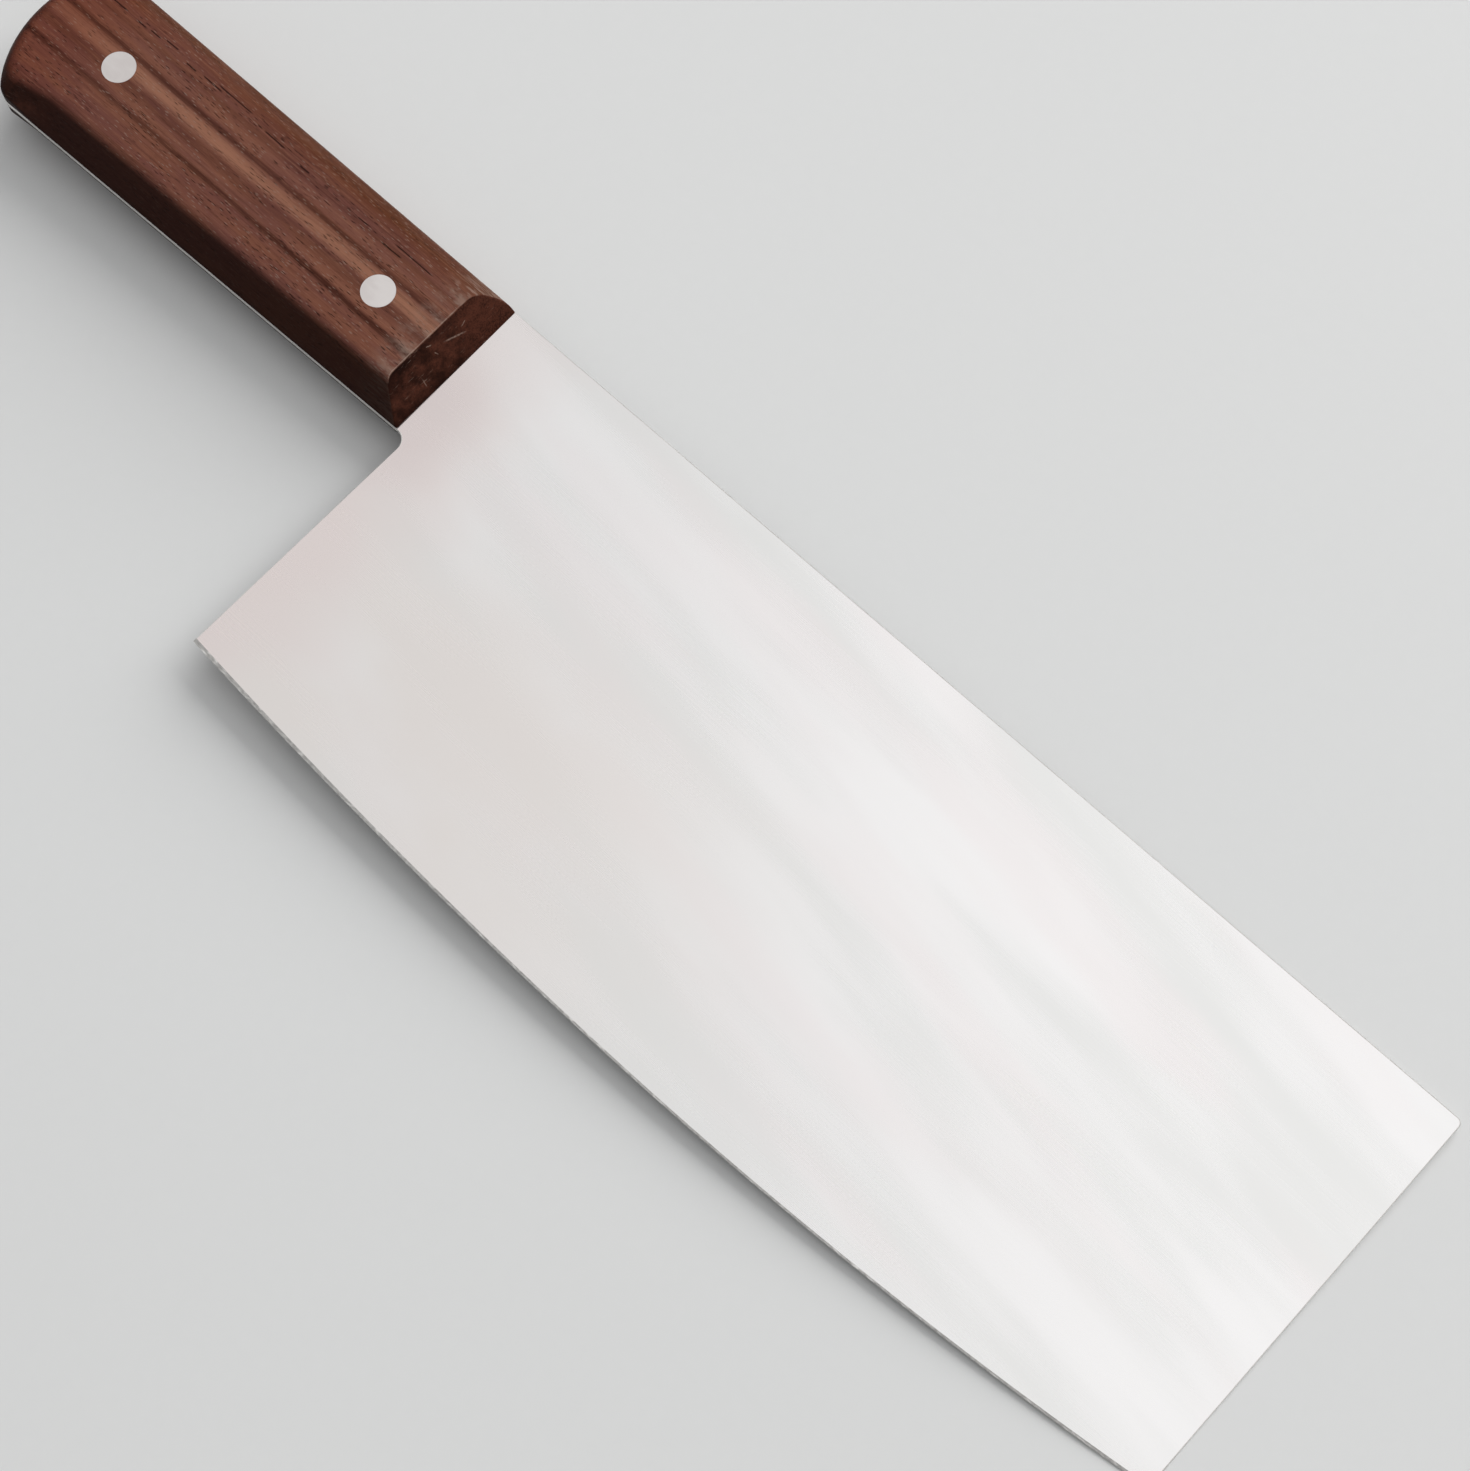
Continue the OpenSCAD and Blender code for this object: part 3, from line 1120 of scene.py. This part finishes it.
@dataclass(frozen=True)
class SatinSteel:
    """Fine satin steel: soft streaks, with painted reflection and shade: a warmer, darker cast over the
    low half, a pinker one at the heel, and darker steel by the handle's foot.
    """

    name: str
    light: Colour = tone(218, 217, 217)
    dark: Colour = tone(211, 211, 210)
    # Painted reflection: cast over the low half.
    warm: Colour = tone(213, 208, 205)
    # Painted reflection: cast at the heel.
    rosy_reflection: Colour = tone(212, 203, 201)
    blush: Colour = tone(216, 211, 211)
    # Painted shade: steel by the handle's foot.
    foot: Colour = tone(204, 194, 193)
    roughness: float = 0.27
    streak_turn: float = math.radians(8)
    line: Colour = tone(150, 146, 142)
    line_share: float = 0.02
    line_depth: float = 0.0003

    def material(self) -> bpy.types.Material:
        """Builds the material.

        Returns:
            The material.
        """
        f = Finish(self.name)
        turned = f.turned(f.position(), self.streak_turn)
        streaks = f.noise(f.placed(turned, (0.011, 0.06, 0.06)), 3, 0.5)
        colour = f.mix(f.ramp(streaks, 0.36, 0.64), self.dark, self.light)
        blushes = f.noise(f.placed(turned, (0.014, 0.07, 0.06), (4.7, 2.3, 0.0)), 2)
        colour = f.mix(f.ramp(blushes, 0.42, 0.66, 0.0, 0.55), colour, self.blush)
        x, y, _ = f.separate(f.position())
        soft = f.noise(f.position((0.03, 0.045, 0.05)), 2)
        # Painted reflection: warmer and darker over the low half, towards the edge.
        low_half_reflection = f.times(f.ramp(y, -22, -62), f.ramp(x, 135, 50))
        colour = f.mix(f.times(low_half_reflection, f.ramp(soft, 0.3, 0.6, 0.45, 0.9)), colour, self.warm)
        # Painted reflection: pinker and darker towards the heel.
        heel_reflection = f.ramp(f.plus(x, f.times(f.plus(soft, -0.5), 26)), 26, 2)
        colour = f.mix(f.times(heel_reflection, f.ramp(y, 3, -20, 0.45, 1.0)), colour, self.rosy_reflection)
        # Painted shade: darker steel just in front of the handle's foot.
        foot_shade = f.times(f.ramp(x, 16, 3), f.ramp(y, -8, -20), f.ramp(y, -46, -32))
        colour = f.mix(f.times(foot_shade, 0.65), colour, self.foot)
        lines = f.noise(f.position((0.02, 6, 6)), 4, 0.7)
        grain = f.noise(f.position((1.5, 30, 30)), 2)
        fine = f.plus(f.times(lines, 0.7), f.times(grain, 0.3))
        colour = f.mix(self.line_share, colour, f.mix(fine, self.line, WHITE), "MULTIPLY")
        rough = f.plus(
            self.roughness, f.ramp(streaks, 0.3, 0.7, 0.03, -0.03), f.ramp(fine, 0.3, 0.7, -0.02, 0.02))
        return f.finish(colour, rough, f.bumps(fine, self.line_depth, 0.5), metal=1.0)


@dataclass(frozen=True)
class GroundSteel:
    """Steel left from the wheel: short grinding lines and bright flecks. Its default colours, which the
    walls take, are paler than the face's steel: a painted highlight on the lit walls.
    """

    name: str
    # Painted highlight: paler than the face's steel.
    colour: Colour = tone(238, 235, 232)
    dark: Colour = tone(218, 215, 211)
    roughness: float = 0.32
    lines: Triple = (0.12, 5.0, 14.0)
    depth: float = 0.004
    fleck: Colour = tone(248, 246, 243)

    def material(self) -> bpy.types.Material:
        """Builds the material.

        Returns:
            The material.
        """
        f = Finish(self.name)
        lines = f.noise(f.position(self.lines), 4, 0.65)
        flecks = f.ramp(f.noise(f.position((0.5, 2, 2)), 3), 0.52, 0.74, 0.0, 0.6)
        colour = f.mix(f.ramp(lines, 0.3, 0.7), self.dark, self.colour)
        colour = f.mix(flecks, colour, self.fleck)
        rough = f.ramp(lines, 0.25, 0.75, self.roughness - 0.06, self.roughness + 0.1)
        return f.finish(colour, rough, f.bumps(lines, self.depth, 0.6), metal=1.0)


@dataclass(frozen=True)
class RivetSteel:
    """Flush rivet metal, sanded along the handle with the wood."""

    name: str
    colour: Colour = tone(212, 207, 205)
    cloud: Colour = tone(205, 199, 197)
    line: Colour = tone(120, 117, 114)
    line_share: float = 0.1
    line_depth: float = 0.002
    roughness: float = 0.34

    def material(self) -> bpy.types.Material:
        """Builds the material.

        Returns:
            The material.
        """
        f = Finish(self.name)
        lines = f.noise(f.position((0.25, 9, 9)), 4, 0.7)
        clouds = f.noise(f.position((0.2, 0.35, 0.3)), 2)
        colour = f.mix(f.ramp(clouds, 0.35, 0.65), self.cloud, self.colour)
        colour = f.mix(self.line_share, colour, f.mix(lines, self.line, WHITE), "MULTIPLY")
        rough = f.ramp(lines, 0.3, 0.7, self.roughness - 0.04, self.roughness + 0.05)
        return f.finish(colour, rough, f.bumps(lines, self.line_depth, 0.5), metal=1.0)


@dataclass(frozen=True)
class Band:
    """A streak that runs the whole length of the wood at one depth under the spine."""

    depth: float
    half_width: float
    colour: Colour
    strength: float


@dataclass(frozen=True)
class Slit:
    """A long open pore, given by its middle and its length."""

    x: float
    depth: float
    length: float


@dataclass(frozen=True)
class Scrape:
    """A pale scratch on the end grain, given by the place across and the height of its ends."""

    start: Pair
    end: Pair
    half_width: float

    def cover(self, f: Finish, across: Socket, height: Socket) -> Socket:
        """Share of the scratch at a place.

        Formula: the distance from the line through both ends, eased to nothing at two half
        widths, times the distance from the middle, eased to nothing at the ends.

        Args:
            f: The finish that it belongs to.
            across: Place across the handle.
            height: Height over the middle plane.

        Returns:
            A number from 0 to 1.
        """
        start, end = np.array(self.start), np.array(self.end)
        length = float(np.linalg.norm(end - start))
        run, rise = ((end - start) / length).tolist()
        beside = f.plus(f.times(across, -rise), f.times(height, run))
        along = f.plus(f.times(across, run), f.times(height, rise))
        line = float(start @ (-rise, run))
        middle = float((start + end) @ (run, rise)) / 2
        return f.times(
            f.ramp(f.off(beside, line), 2 * self.half_width, 0),
            f.ramp(f.off(along, middle), length / 2, length * 0.2))


class WoodFinish(Finish):
    """A wood material under construction, with the places that its patterns read.

    Place, across and height are the knife's own X, Y and Z, and off_middle is the distance
    from the blade's middle plane. X and z are places in the plank that the scale was sawn
    from, and depth is the swaying depth under the spine there. Ahead and aside are the
    surface's direction along the knife and across it.
    """

    def __init__(self, name: str, shift: Triple) -> None:
        """Works out the places.

        Args:
            name: Name of the material.
            shift: Where in the plank the scale was sawn out.
        """
        super().__init__(name)
        self.shift = shift
        sway, ripple = self.sawn((0.022, 0.06, 0.06), 2), self.sawn((0.15, 0.5, 0.5), 2)
        self.x, y, self.z = self.separate(self.position(shift=shift))
        self.place, self.across, self.height = self.separate(self.position())
        swing = self.plus(
            self.times(self.plus(sway, -0.5), 1.1), self.times(self.plus(ripple, -0.5), 0.35))
        slope = self.times(self.plus(self.height, -7.5), 0.12)
        self.depth = self.plus(self.times(y, -1.0), swing, slope)
        self.off_middle = self.math("ABSOLUTE", self.height)
        self.ahead, self.aside, _ = self.facing()

    def sawn(self, scale: Triple, detail: float, rough: float = 0.5) -> Socket:
        """Cloudy numbers fixed in the plank."""
        return self.noise(self.position(scale, self.shift), detail, rough)

    def grain(self, along: float, depth: float, z: float) -> Socket:
        """Vector for a pattern along the grain, with a factor for each of its three places."""
        places = self.times(self.x, along), self.times(self.depth, depth), self.times(self.z, z)
        return self.vector(*places)


@dataclass(frozen=True)
class Rosewood:
    """Oiled rosewood: dark veins and a pale streak along the handle, pores and end grain."""

    name: str
    plank_shift: Triple = (0.0, 0.0, 0.0)
    body: Colour = tone(118, 75, 60)
    plum: Colour = tone(106, 66, 58)
    pale: Colour = tone(148, 103, 83)
    warm: Colour = tone(72, 36, 14)
    vein: Colour = tone(62, 32, 24)
    # Painted shade of the edge side's flank.
    painted_flank_shade: Colour = tone(24, 7, 4)
    # Also the dark of the painted shade on the end grain.
    pore: Colour = tone(20, 8, 6)
    end_dark: Colour = tone(42, 22, 16)
    end_red: Colour = tone(82, 46, 35)
    # Also the colour of the painted highlight along the front arris.
    scratch: Colour = tone(150, 128, 116)
    russet: Colour = (0.93, 0.76, 0.7, 1.0)
    # Painted shade multiplied into faces turned to the butt.
    rim: Colour = (0.62, 0.43, 0.38, 1.0)
    roughness: float = 0.4
    shine: float = 0.03
    fibre_depth: float = 0.03
    pore_depth: float = 0.15
    slits: tuple[Slit, ...] = (
        Slit(-97.0, 6.3, 4.5), Slit(-91.0, 6.4, 2.5), Slit(-87.5, 6.1, 3.0), Slit(-83.5, 5.6, 3.5),
        Slit(-77.5, 6.5, 3.0), Slit(-72.0, 6.2, 5.5), Slit(-66.5, 5.5, 10.0), Slit(-55.0, 6.5, 6.0),
        Slit(-46.5, 7.1, 2.8), Slit(-31.0, 7.4, 2.8), Slit(-23.0, 8.1, 5.5), Slit(-18.5, 6.8, 10.5),
    )
    scrapes: tuple[Scrape, ...] = (
        Scrape((-14.6, 5.5), (-9.3, 4.15), 0.1), Scrape((-17.7, 6.7), (-16.3, 6.3), 0.07),
        Scrape((-16.9, 5.3), (-16.4, 4.6), 0.08), Scrape((-21.7, 3.9), (-21.9, 2.2), 0.07),
        Scrape((-10.0, 5.2), (-8.4, 5.6), 0.06),
    )

    @property
    def bands(self) -> tuple[Band, ...]:
        """The streaks, from the spine's side to the edge's."""
        return (
            Band(0.5, 6.8, self.warm, 1.0), Band(7.9, 0.9, self.vein, 0.3),
            Band(9.9, 1.6, self.pale, 0.2), Band(11.9, 1.0, self.vein, 0.78),
            Band(14.15, 2.25, self.pale, 1.0), Band(16.9, 1.7, self.vein, 0.38),
            Band(19.3, 1.0, self.pale, 0.15), Band(21.0, 1.05, self.vein, 0.9),
        )

    def streaks(self, w: WoodFinish) -> Socket:
        """The wood's two body colours with the streaks along it.

        Args:
            w: The wood under construction.

        Returns:
            The colour.
        """
        lively = w.noise(w.vector(w.times(w.x, 0.03), w.times(w.depth, 0.2), 3.0), 2)
        blotch = w.noise(w.grain(0.05, 0.45, 0.2), 3)
        colour = w.mix(w.ramp(blotch, 0.35, 0.65), self.plum, self.body)
        fading = w.ramp(w.place, -110, -86, 0.4, 1.0)
        for band in self.bands:
            off = w.off(w.depth, band.depth)
            share = w.ramp(off, band.half_width, band.half_width * 0.15, 0.0, band.strength)
            if band.colour == self.pale:
                share = w.times(share, fading)
            share = w.times(share, w.ramp(lively, 0.25, 0.6, 0.6, 1.0))
            colour = w.mix(share, colour, band.colour)
        return colour

    def threads(
        self, w: WoodFinish, colour: Socket, pattern: Socket, dark: Triple, pale: Triple
    ) -> Socket:
        """Lays dark and pale threads of a pattern over a colour.

        Args:
            w: The wood under construction.
            colour: The colour under them.
            pattern: The pattern.
            dark: Where the dark threads begin and end in the pattern, and their share.
            pale: The same for the pale threads.

        Returns:
            The colour.
        """
        colour = w.mix(w.ramp(pattern, dark[0], dark[1], 0.0, dark[2]), colour, self.vein)
        return w.mix(w.ramp(pattern, pale[0], pale[1], 0.0, pale[2]), colour, self.pale)

    def pores(self, w: WoodFinish) -> Socket:
        """Open pores: short dashes that crowd in places, and the long slits.

        Args:
            w: The wood under construction.

        Returns:
            1 inside a pore and 0 elsewhere.
        """
        crowd = w.noise(w.vector(w.times(w.x, 0.06), w.times(w.depth, 0.35), w.z), 2)
        short = w.dashes(w.grain(0.36, 3.6, 3.6), 0.28, 0.12)
        pores = [w.times(short, w.ramp(crowd, 0.35, 0.6))]
        for slit in self.slits:
            half = slit.length / 2
            along = w.ramp(w.off(w.x, slit.x), half, half * 0.7)
            pores.append(w.times(along, w.ramp(w.off(w.depth, slit.depth), 0.2, 0.07)))
        return w.most(*pores)

    def wear_and_highlight(self, w: WoodFinish, colour: Socket) -> Socket:
        """Lays pale flecks, rubbed places by the front, and a painted highlight along the front arris
        over a colour.

        Args:
            w: The wood under construction.
            colour: The colour under them.

        Returns:
            The colour.
        """
        spots = w.vector(
            w.plus(w.times(w.x, 0.45), 9.3), w.times(w.depth, 2.4), w.times(w.z, 2.4))
        colour = w.mix(w.times(w.dashes(spots, 0.28, 0.08), 0.42), colour, self.scratch)
        wear_and_highlight_breakup = w.noise(w.grain(0.3, 0.5, 3), 3, 0.6)
        by_front = w.times(w.ramp(w.place, -13, -6.5), w.ramp(wear_and_highlight_breakup, 0.4, 0.65, 0.05, 0.5))
        colour = w.mix(by_front, colour, self.scratch)
        # Painted highlight: a broken pale line along the top of the front arris, in the scratch colour.
        arris = w.times(
            w.ramp(w.ahead, 0.03, 0.14), w.ramp(w.ahead, 0.42, 0.22),
            w.ramp(w.place, -9, -7), w.ramp(w.off_middle, 6.8, 7.2), w.ramp(w.across, -6, -10))
        return w.mix(w.times(arris, w.ramp(wear_and_highlight_breakup, 0.3, 0.6, 0.3, 0.8)), colour, self.scratch)

    def shades(self, w: WoodFinish, colour: Socket) -> Socket:
        """Reddens the butt's half, and paints shade: faces turned to the butt darker and redder, and
        the edge side's flank near black.

        Args:
            w: The wood under construction.
            colour: The colour of the wood.

        Returns:
            The colour.
        """
        colour = w.mix(w.ramp(w.place, -82, -104, 0.0, 0.85), colour, self.russet, "MULTIPLY")
        # Painted shade: faces turned towards the butt are multiplied darker and redder.
        rim = w.ramp(w.ahead, -0.04, -0.6, 0.0, 0.9)
        colour = w.mix(rim, colour, self.rim, "MULTIPLY")
        # Painted shade: the edge side's flank, turned away from the lamps, goes near black.
        shaded = w.plus(w.times(w.aside, 0.94), w.times(w.ahead, 0.34))
        return w.mix(w.ramp(shaded, -0.26, -0.86, 0.0, 0.95), colour, self.painted_flank_shade)

    def end_grain(self, w: WoodFinish) -> Socket:
        """Colour of the end grain: mottled, darker by the flat, with painted shade along the tang's
        foot and at the edge side's low corner, and scratched.

        Args:
            w: The wood under construction.

        Returns:
            The colour.
        """
        mottle = w.sawn((0.3, 0.3, 0.4), 5, 0.7)
        cells = w.sawn((2, 3, 4), 4, 0.7)
        end = w.mix(w.ramp(mottle, 0.32, 0.68), self.end_dark, self.end_red)
        # Painted shade: darker at the edge side's low corner and along the foot by the tang.
        low_corner_shade = w.times(w.ramp(w.across, -21, -28), w.ramp(w.off_middle, 3.0, 5.5, 0.0, 0.6))
        dark_and_shaded_places = (
            w.ramp(cells, 0.5, 0.3, 0.0, 0.5),
            # Painted shade along the foot, where the wood meets the tang.
            w.ramp(w.off_middle, 3.0, 1.1, 0.0, 0.6),
            w.ramp(w.off_middle, 5.8, 7.2, 0.0, 0.55),
            low_corner_shade,
        )
        for share in dark_and_shaded_places:
            end = w.mix(share, end, self.pore)
        by_spine = w.times(w.ramp(w.across, -15, -6, 0.0, 0.8), w.ramp(cells, 0.38, 0.62, 0.1, 1.0))
        end = w.mix(by_spine, end, self.end_red)
        fine = w.sawn((0.3, 0.45, 7), 3, 0.6)
        where = w.sawn((0.2, 0.3, 0.5), 2)
        broken = w.ramp(cells, 0.35, 0.6, 0.15, 0.75)
        scraped = w.most(
            w.times(w.ramp(fine, 0.6, 0.72), w.ramp(where, 0.45, 0.6), 0.4),
            *(w.times(scrape.cover(w, w.across, w.height), broken) for scrape in self.scrapes))
        return w.mix(scraped, end, self.scratch)

    def across_grain(self, w: WoodFinish) -> Socket:
        """Share of the end grain: all of the front bevel, and much of the butt.

        Args:
            w: The wood under construction.

        Returns:
            A number from 0 to 1.
        """
        low_front = w.times(w.ramp(w.ahead, 0.04, 0.2), w.ramp(w.off_middle, 7.1, 6.5))
        return w.most(
            w.ramp(w.ahead, 0.3, 0.6), low_front, w.ramp(w.ahead, -0.3, -0.8, 0.0, 0.7))

    def material(self) -> bpy.types.Material:
        """Builds the material.

        Returns:
            The material.
        """
        w = WoodFinish(self.name, self.plank_shift)
        thin = w.noise(w.grain(0.025, 2.2, 0.6), 4, 0.65)
        fibre = w.noise(w.grain(0.2, 4.4, 4.4), 4, 0.7)
        colour = self.threads(w, self.streaks(w), thin, (0.48, 0.3, 0.42), (0.55, 0.75, 0.3))
        colour = self.threads(w, colour, fibre, (0.48, 0.27, 0.55), (0.53, 0.74, 0.5))
        pores = self.pores(w)
        colour = w.mix(w.times(pores, 0.75), colour, self.pore)
        colour = self.shades(w, self.wear_and_highlight(w, colour))
        colour = w.mix(self.across_grain(w), colour, self.end_grain(w))
        rough = w.ramp(fibre, 0.3, 0.7, self.roughness + 0.1, self.roughness - 0.06)
        fine = w.bumps(fibre, self.fibre_depth, 0.6)
        normal = w.bumps(w.math("SUBTRACT", 1.0, pores), self.pore_depth, 0.9, fine)
        return w.finish(colour, rough, normal, shine=self.shine)


@dataclass(frozen=True)
class TableTop:
    """Plain pale floor with a barely seen tooth, which passes into the backdrop far away."""

    name: str = "pale_table"
    colour: Colour = tone(224, 225, 225)
    tooth_dark: Colour = tone(150, 150, 150)
    plain_to: float = 450.0
    backdrop_from: float = 1300.0

    def material(self) -> bpy.types.Material:
        """Builds the material.

        Returns:
            The material.
        """
        f = Finish(self.name)
        tooth = f.noise(f.position((0.4, 0.4, 0.4)), 5, 0.6)
        colour = f.mix(0.03, self.colour, f.mix(tooth, self.tooth_dark, WHITE), "MULTIPLY")
        material = f.finish(colour, 0.9, f.bumps(tooth, 0.01, 0.2), shine=0.1)
        distance = f.node("ShaderNodeVectorMath", {"operation": "LENGTH"}, Vector=f.position())
        far = f.ramp(distance.outputs["Value"], self.plain_to, self.backdrop_from)
        pale = f.node("ShaderNodeEmission", Color=BACKDROP, Strength=1.0)
        both = f.node("ShaderNodeMixShader", Fac=f.times(far, f.seen_directly()))
        f.put(both.inputs[1], f.shader.outputs[0])
        f.put(both.inputs[2], pale.outputs[0])
        f.put(f.output.inputs["Surface"], both.outputs[0])
        return material


# Studio

@dataclass(frozen=True)
class Lamp:
    """A rectangular lamp that faces the knife.

    Place and size are in metres. Glow is its brightness as a mirror shows it, with 1 for white.
    A bright lamp is kept out of mirrors, so that steel doesn't clip to white at any angle.
    """

    name: str
    place: Triple
    size: Pair
    glow: float
    colour: Triple = (1.0, 1.0, 1.0)
    in_mirrors: bool = True

    def hang(self) -> None:
        """Puts the lamp into the scene: its power is glow times area times pi."""
        data = bpy.data.lights.new(self.name, "AREA")
        data.shape = "RECTANGLE"
        data.size, data.size_y = self.size
        data.energy, data.color = self.glow * math.pi * self.size[0] * self.size[1], self.colour
        lamp = bpy.data.objects.new(self.name, data)
        lamp.location = self.place
        lamp.visible_glossy = self.in_mirrors
        lamp.rotation_euler = (-Vector(self.place)).to_track_quat("-Z", "Y").to_euler()
        bpy.context.scene.collection.objects.link(lamp)


@dataclass(frozen=True)
class Studio:
    """Floor, soft light from over the spine's side, and the camera."""

    camera_at: Triple = (0.14457, -0.09848, 0.51027)
    camera_right: Triple = (0.73358, 0.67933, -0.01930)
    camera_down: Triple = (0.64330, -0.70328, -0.30259)
    focal_pixels: float = 3000.0
    picture_width: float = 1471.0
    floor_half: float = 3.0
    floor_foot: Triple = (-5.7, -26.0, -7.5)
    floor_slope: Pair = (0.0297, -0.0107)
    ambient: Colour = (0.34, 0.34, 0.34, 1.0)
    lamps: tuple[Lamp, ...] = (
        Lamp("softbox", (-0.16, 0.32, 2.0), (3.0, 2.2), 0.36, (1.0, 0.99, 0.985)),
        Lamp("second_softbox", (0.47, 0.66, 1.85), (2.2, 1.6), 0.32),
        Lamp("key", (0.34, 2.95, 1.7), (3.6, 2.75), 3.75, (1.0, 0.995, 0.985), in_mirrors=False),
    )

    def set_camera(self) -> None:
        """Puts the camera where the perspective of the photograph places it."""
        data = bpy.data.cameras.new("camera")
        data.sensor_width = 36.0
        data.lens = data.sensor_width * self.focal_pixels / self.picture_width
        data.clip_start = 0.01
        right, down = unit(np.array(self.camera_right)), unit(np.array(self.camera_down))
        turn = np.column_stack([right, -down, np.cross(right, -down)])
        camera = bpy.data.objects.new("camera", data)
        camera.matrix_world = Matrix.Translation(self.camera_at) @ Matrix(turn.tolist()).to_4x4()
        bpy.context.scene.collection.objects.link(camera)
        bpy.context.scene.camera = camera

    def lay_floor(self) -> None:
        """Lays the floor where the knife would rest on it.

        Formula: a plane through the low corner of the lower scale's flat, which rises to both
        corners of the toe.
        """
        mesh = bpy.data.meshes.new("floor")
        foot = to_frame(np.array(self.floor_foot))
        plan = np.array([[-1, -1], [1, -1], [1, 1], [-1, 1]]) * self.floor_half
        height = foot[2] + (plan - foot[:2]) @ np.array(self.floor_slope)
        mesh.from_pydata(np.column_stack([plan, height]).tolist(), [], [(0, 1, 2, 3)])
        mesh.materials.append(TableTop().material())
        floor = bpy.data.objects.new("floor", mesh)
        bpy.context.scene.collection.objects.link(floor)

    def surround(self) -> None:
        """Fills the surroundings: pale to the camera, metal and glass, and dim as light."""
        world = bpy.data.worlds.new("studio")
        world.use_nodes = True
        bpy.context.scene.world = world
        n = Nodes(world.node_tree)
        n.tree.nodes.clear()
        colour = n.mix(n.seen_directly(), self.ambient, BACKDROP)
        shade = n.node("ShaderNodeBackground", Color=colour, Strength=1.0)
        n.node("ShaderNodeOutputWorld", Surface=shade.outputs[0])

    def build(self) -> None:
        """Sets up camera, floor, lamps, surroundings and plain colours."""
        self.set_camera()
        self.lay_floor()
        for lamp in self.lamps:
            lamp.hang()
        self.surround()
        bpy.context.scene.view_settings.view_transform = "Standard"


# Assembly

def dress_rivets() -> None:
    """Gives the rivets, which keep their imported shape, their own metal."""
    metal = RivetSteel("rivet_steel").material()
    for name in ("front_rivet_pin", "front_rivet_socket", "butt_rivet_pin", "butt_rivet_socket"):
        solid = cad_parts[name]
        solid.data.materials.clear()
        solid.data.materials.append(metal)
        log.info("%s keeps its solid", name)


def check_against(piece: bpy.types.Object, node: str) -> None:
    """Logs how far a piece's box is from the box of the solid that it stands for.

    Args:
        piece: The piece.
        node: Name of the solid's node.
    """
    corners = np.zeros(len(piece.data.vertices) * 3)
    piece.data.vertices.foreach_get("co", corners)
    corners = corners.reshape(-1, 3)
    low, high = (np.array(c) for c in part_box(node))
    off = np.abs(np.concatenate([corners.min(0) - low, corners.max(0) - high])).max() / MM
    log.info("%s: box within %.3f mm of %s", piece.name, off, node)


def main() -> None:
    """Builds the knife piece by piece, then the studio round it."""
    logging.basicConfig(level=logging.INFO, format="%(name)s: %(message)s")
    handle = Handle()
    blade = Blade(handle)
    steel = [
        SatinSteel("satin_steel").material(),
        # Painted reflection: the honed bevel's darker colours stand in for the dark surroundings that
        # it reflects.
        GroundSteel(
            "honed_bevel_dark_reflection", tone(190, 189, 186), tone(152, 150, 148), 0.42, (1.2, 3.0, 3.0), 0.002
        ).material(),
        # Painted highlight: the walls' steel is paler than the face's.
        GroundSteel("ground_wall_pale_highlight").material(),
    ]
    ground_blade = blade.shell().build("ground_blade", steel, "blade_steel")
    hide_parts("blade")
    check_against(ground_blade, "blade")
    upper = Scale(handle, blade).shell()
    for name, shell, node, shift in (
        ("upper_scale_wood", upper, "upper_scale", (0.0, 0.0, 0.0)),
        ("lower_scale_wood", upper.mirrored(), "lower_scale", (310.0, 6.0, 60.0)),
    ):
        wood = Rosewood(node + "_rosewood", shift).material()
        piece = shell.build(name, [wood], "rosewood")
        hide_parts(node)
        check_against(piece, node)
    dress_rivets()
    Studio().build()


if __name__ == "__main__":
    main()
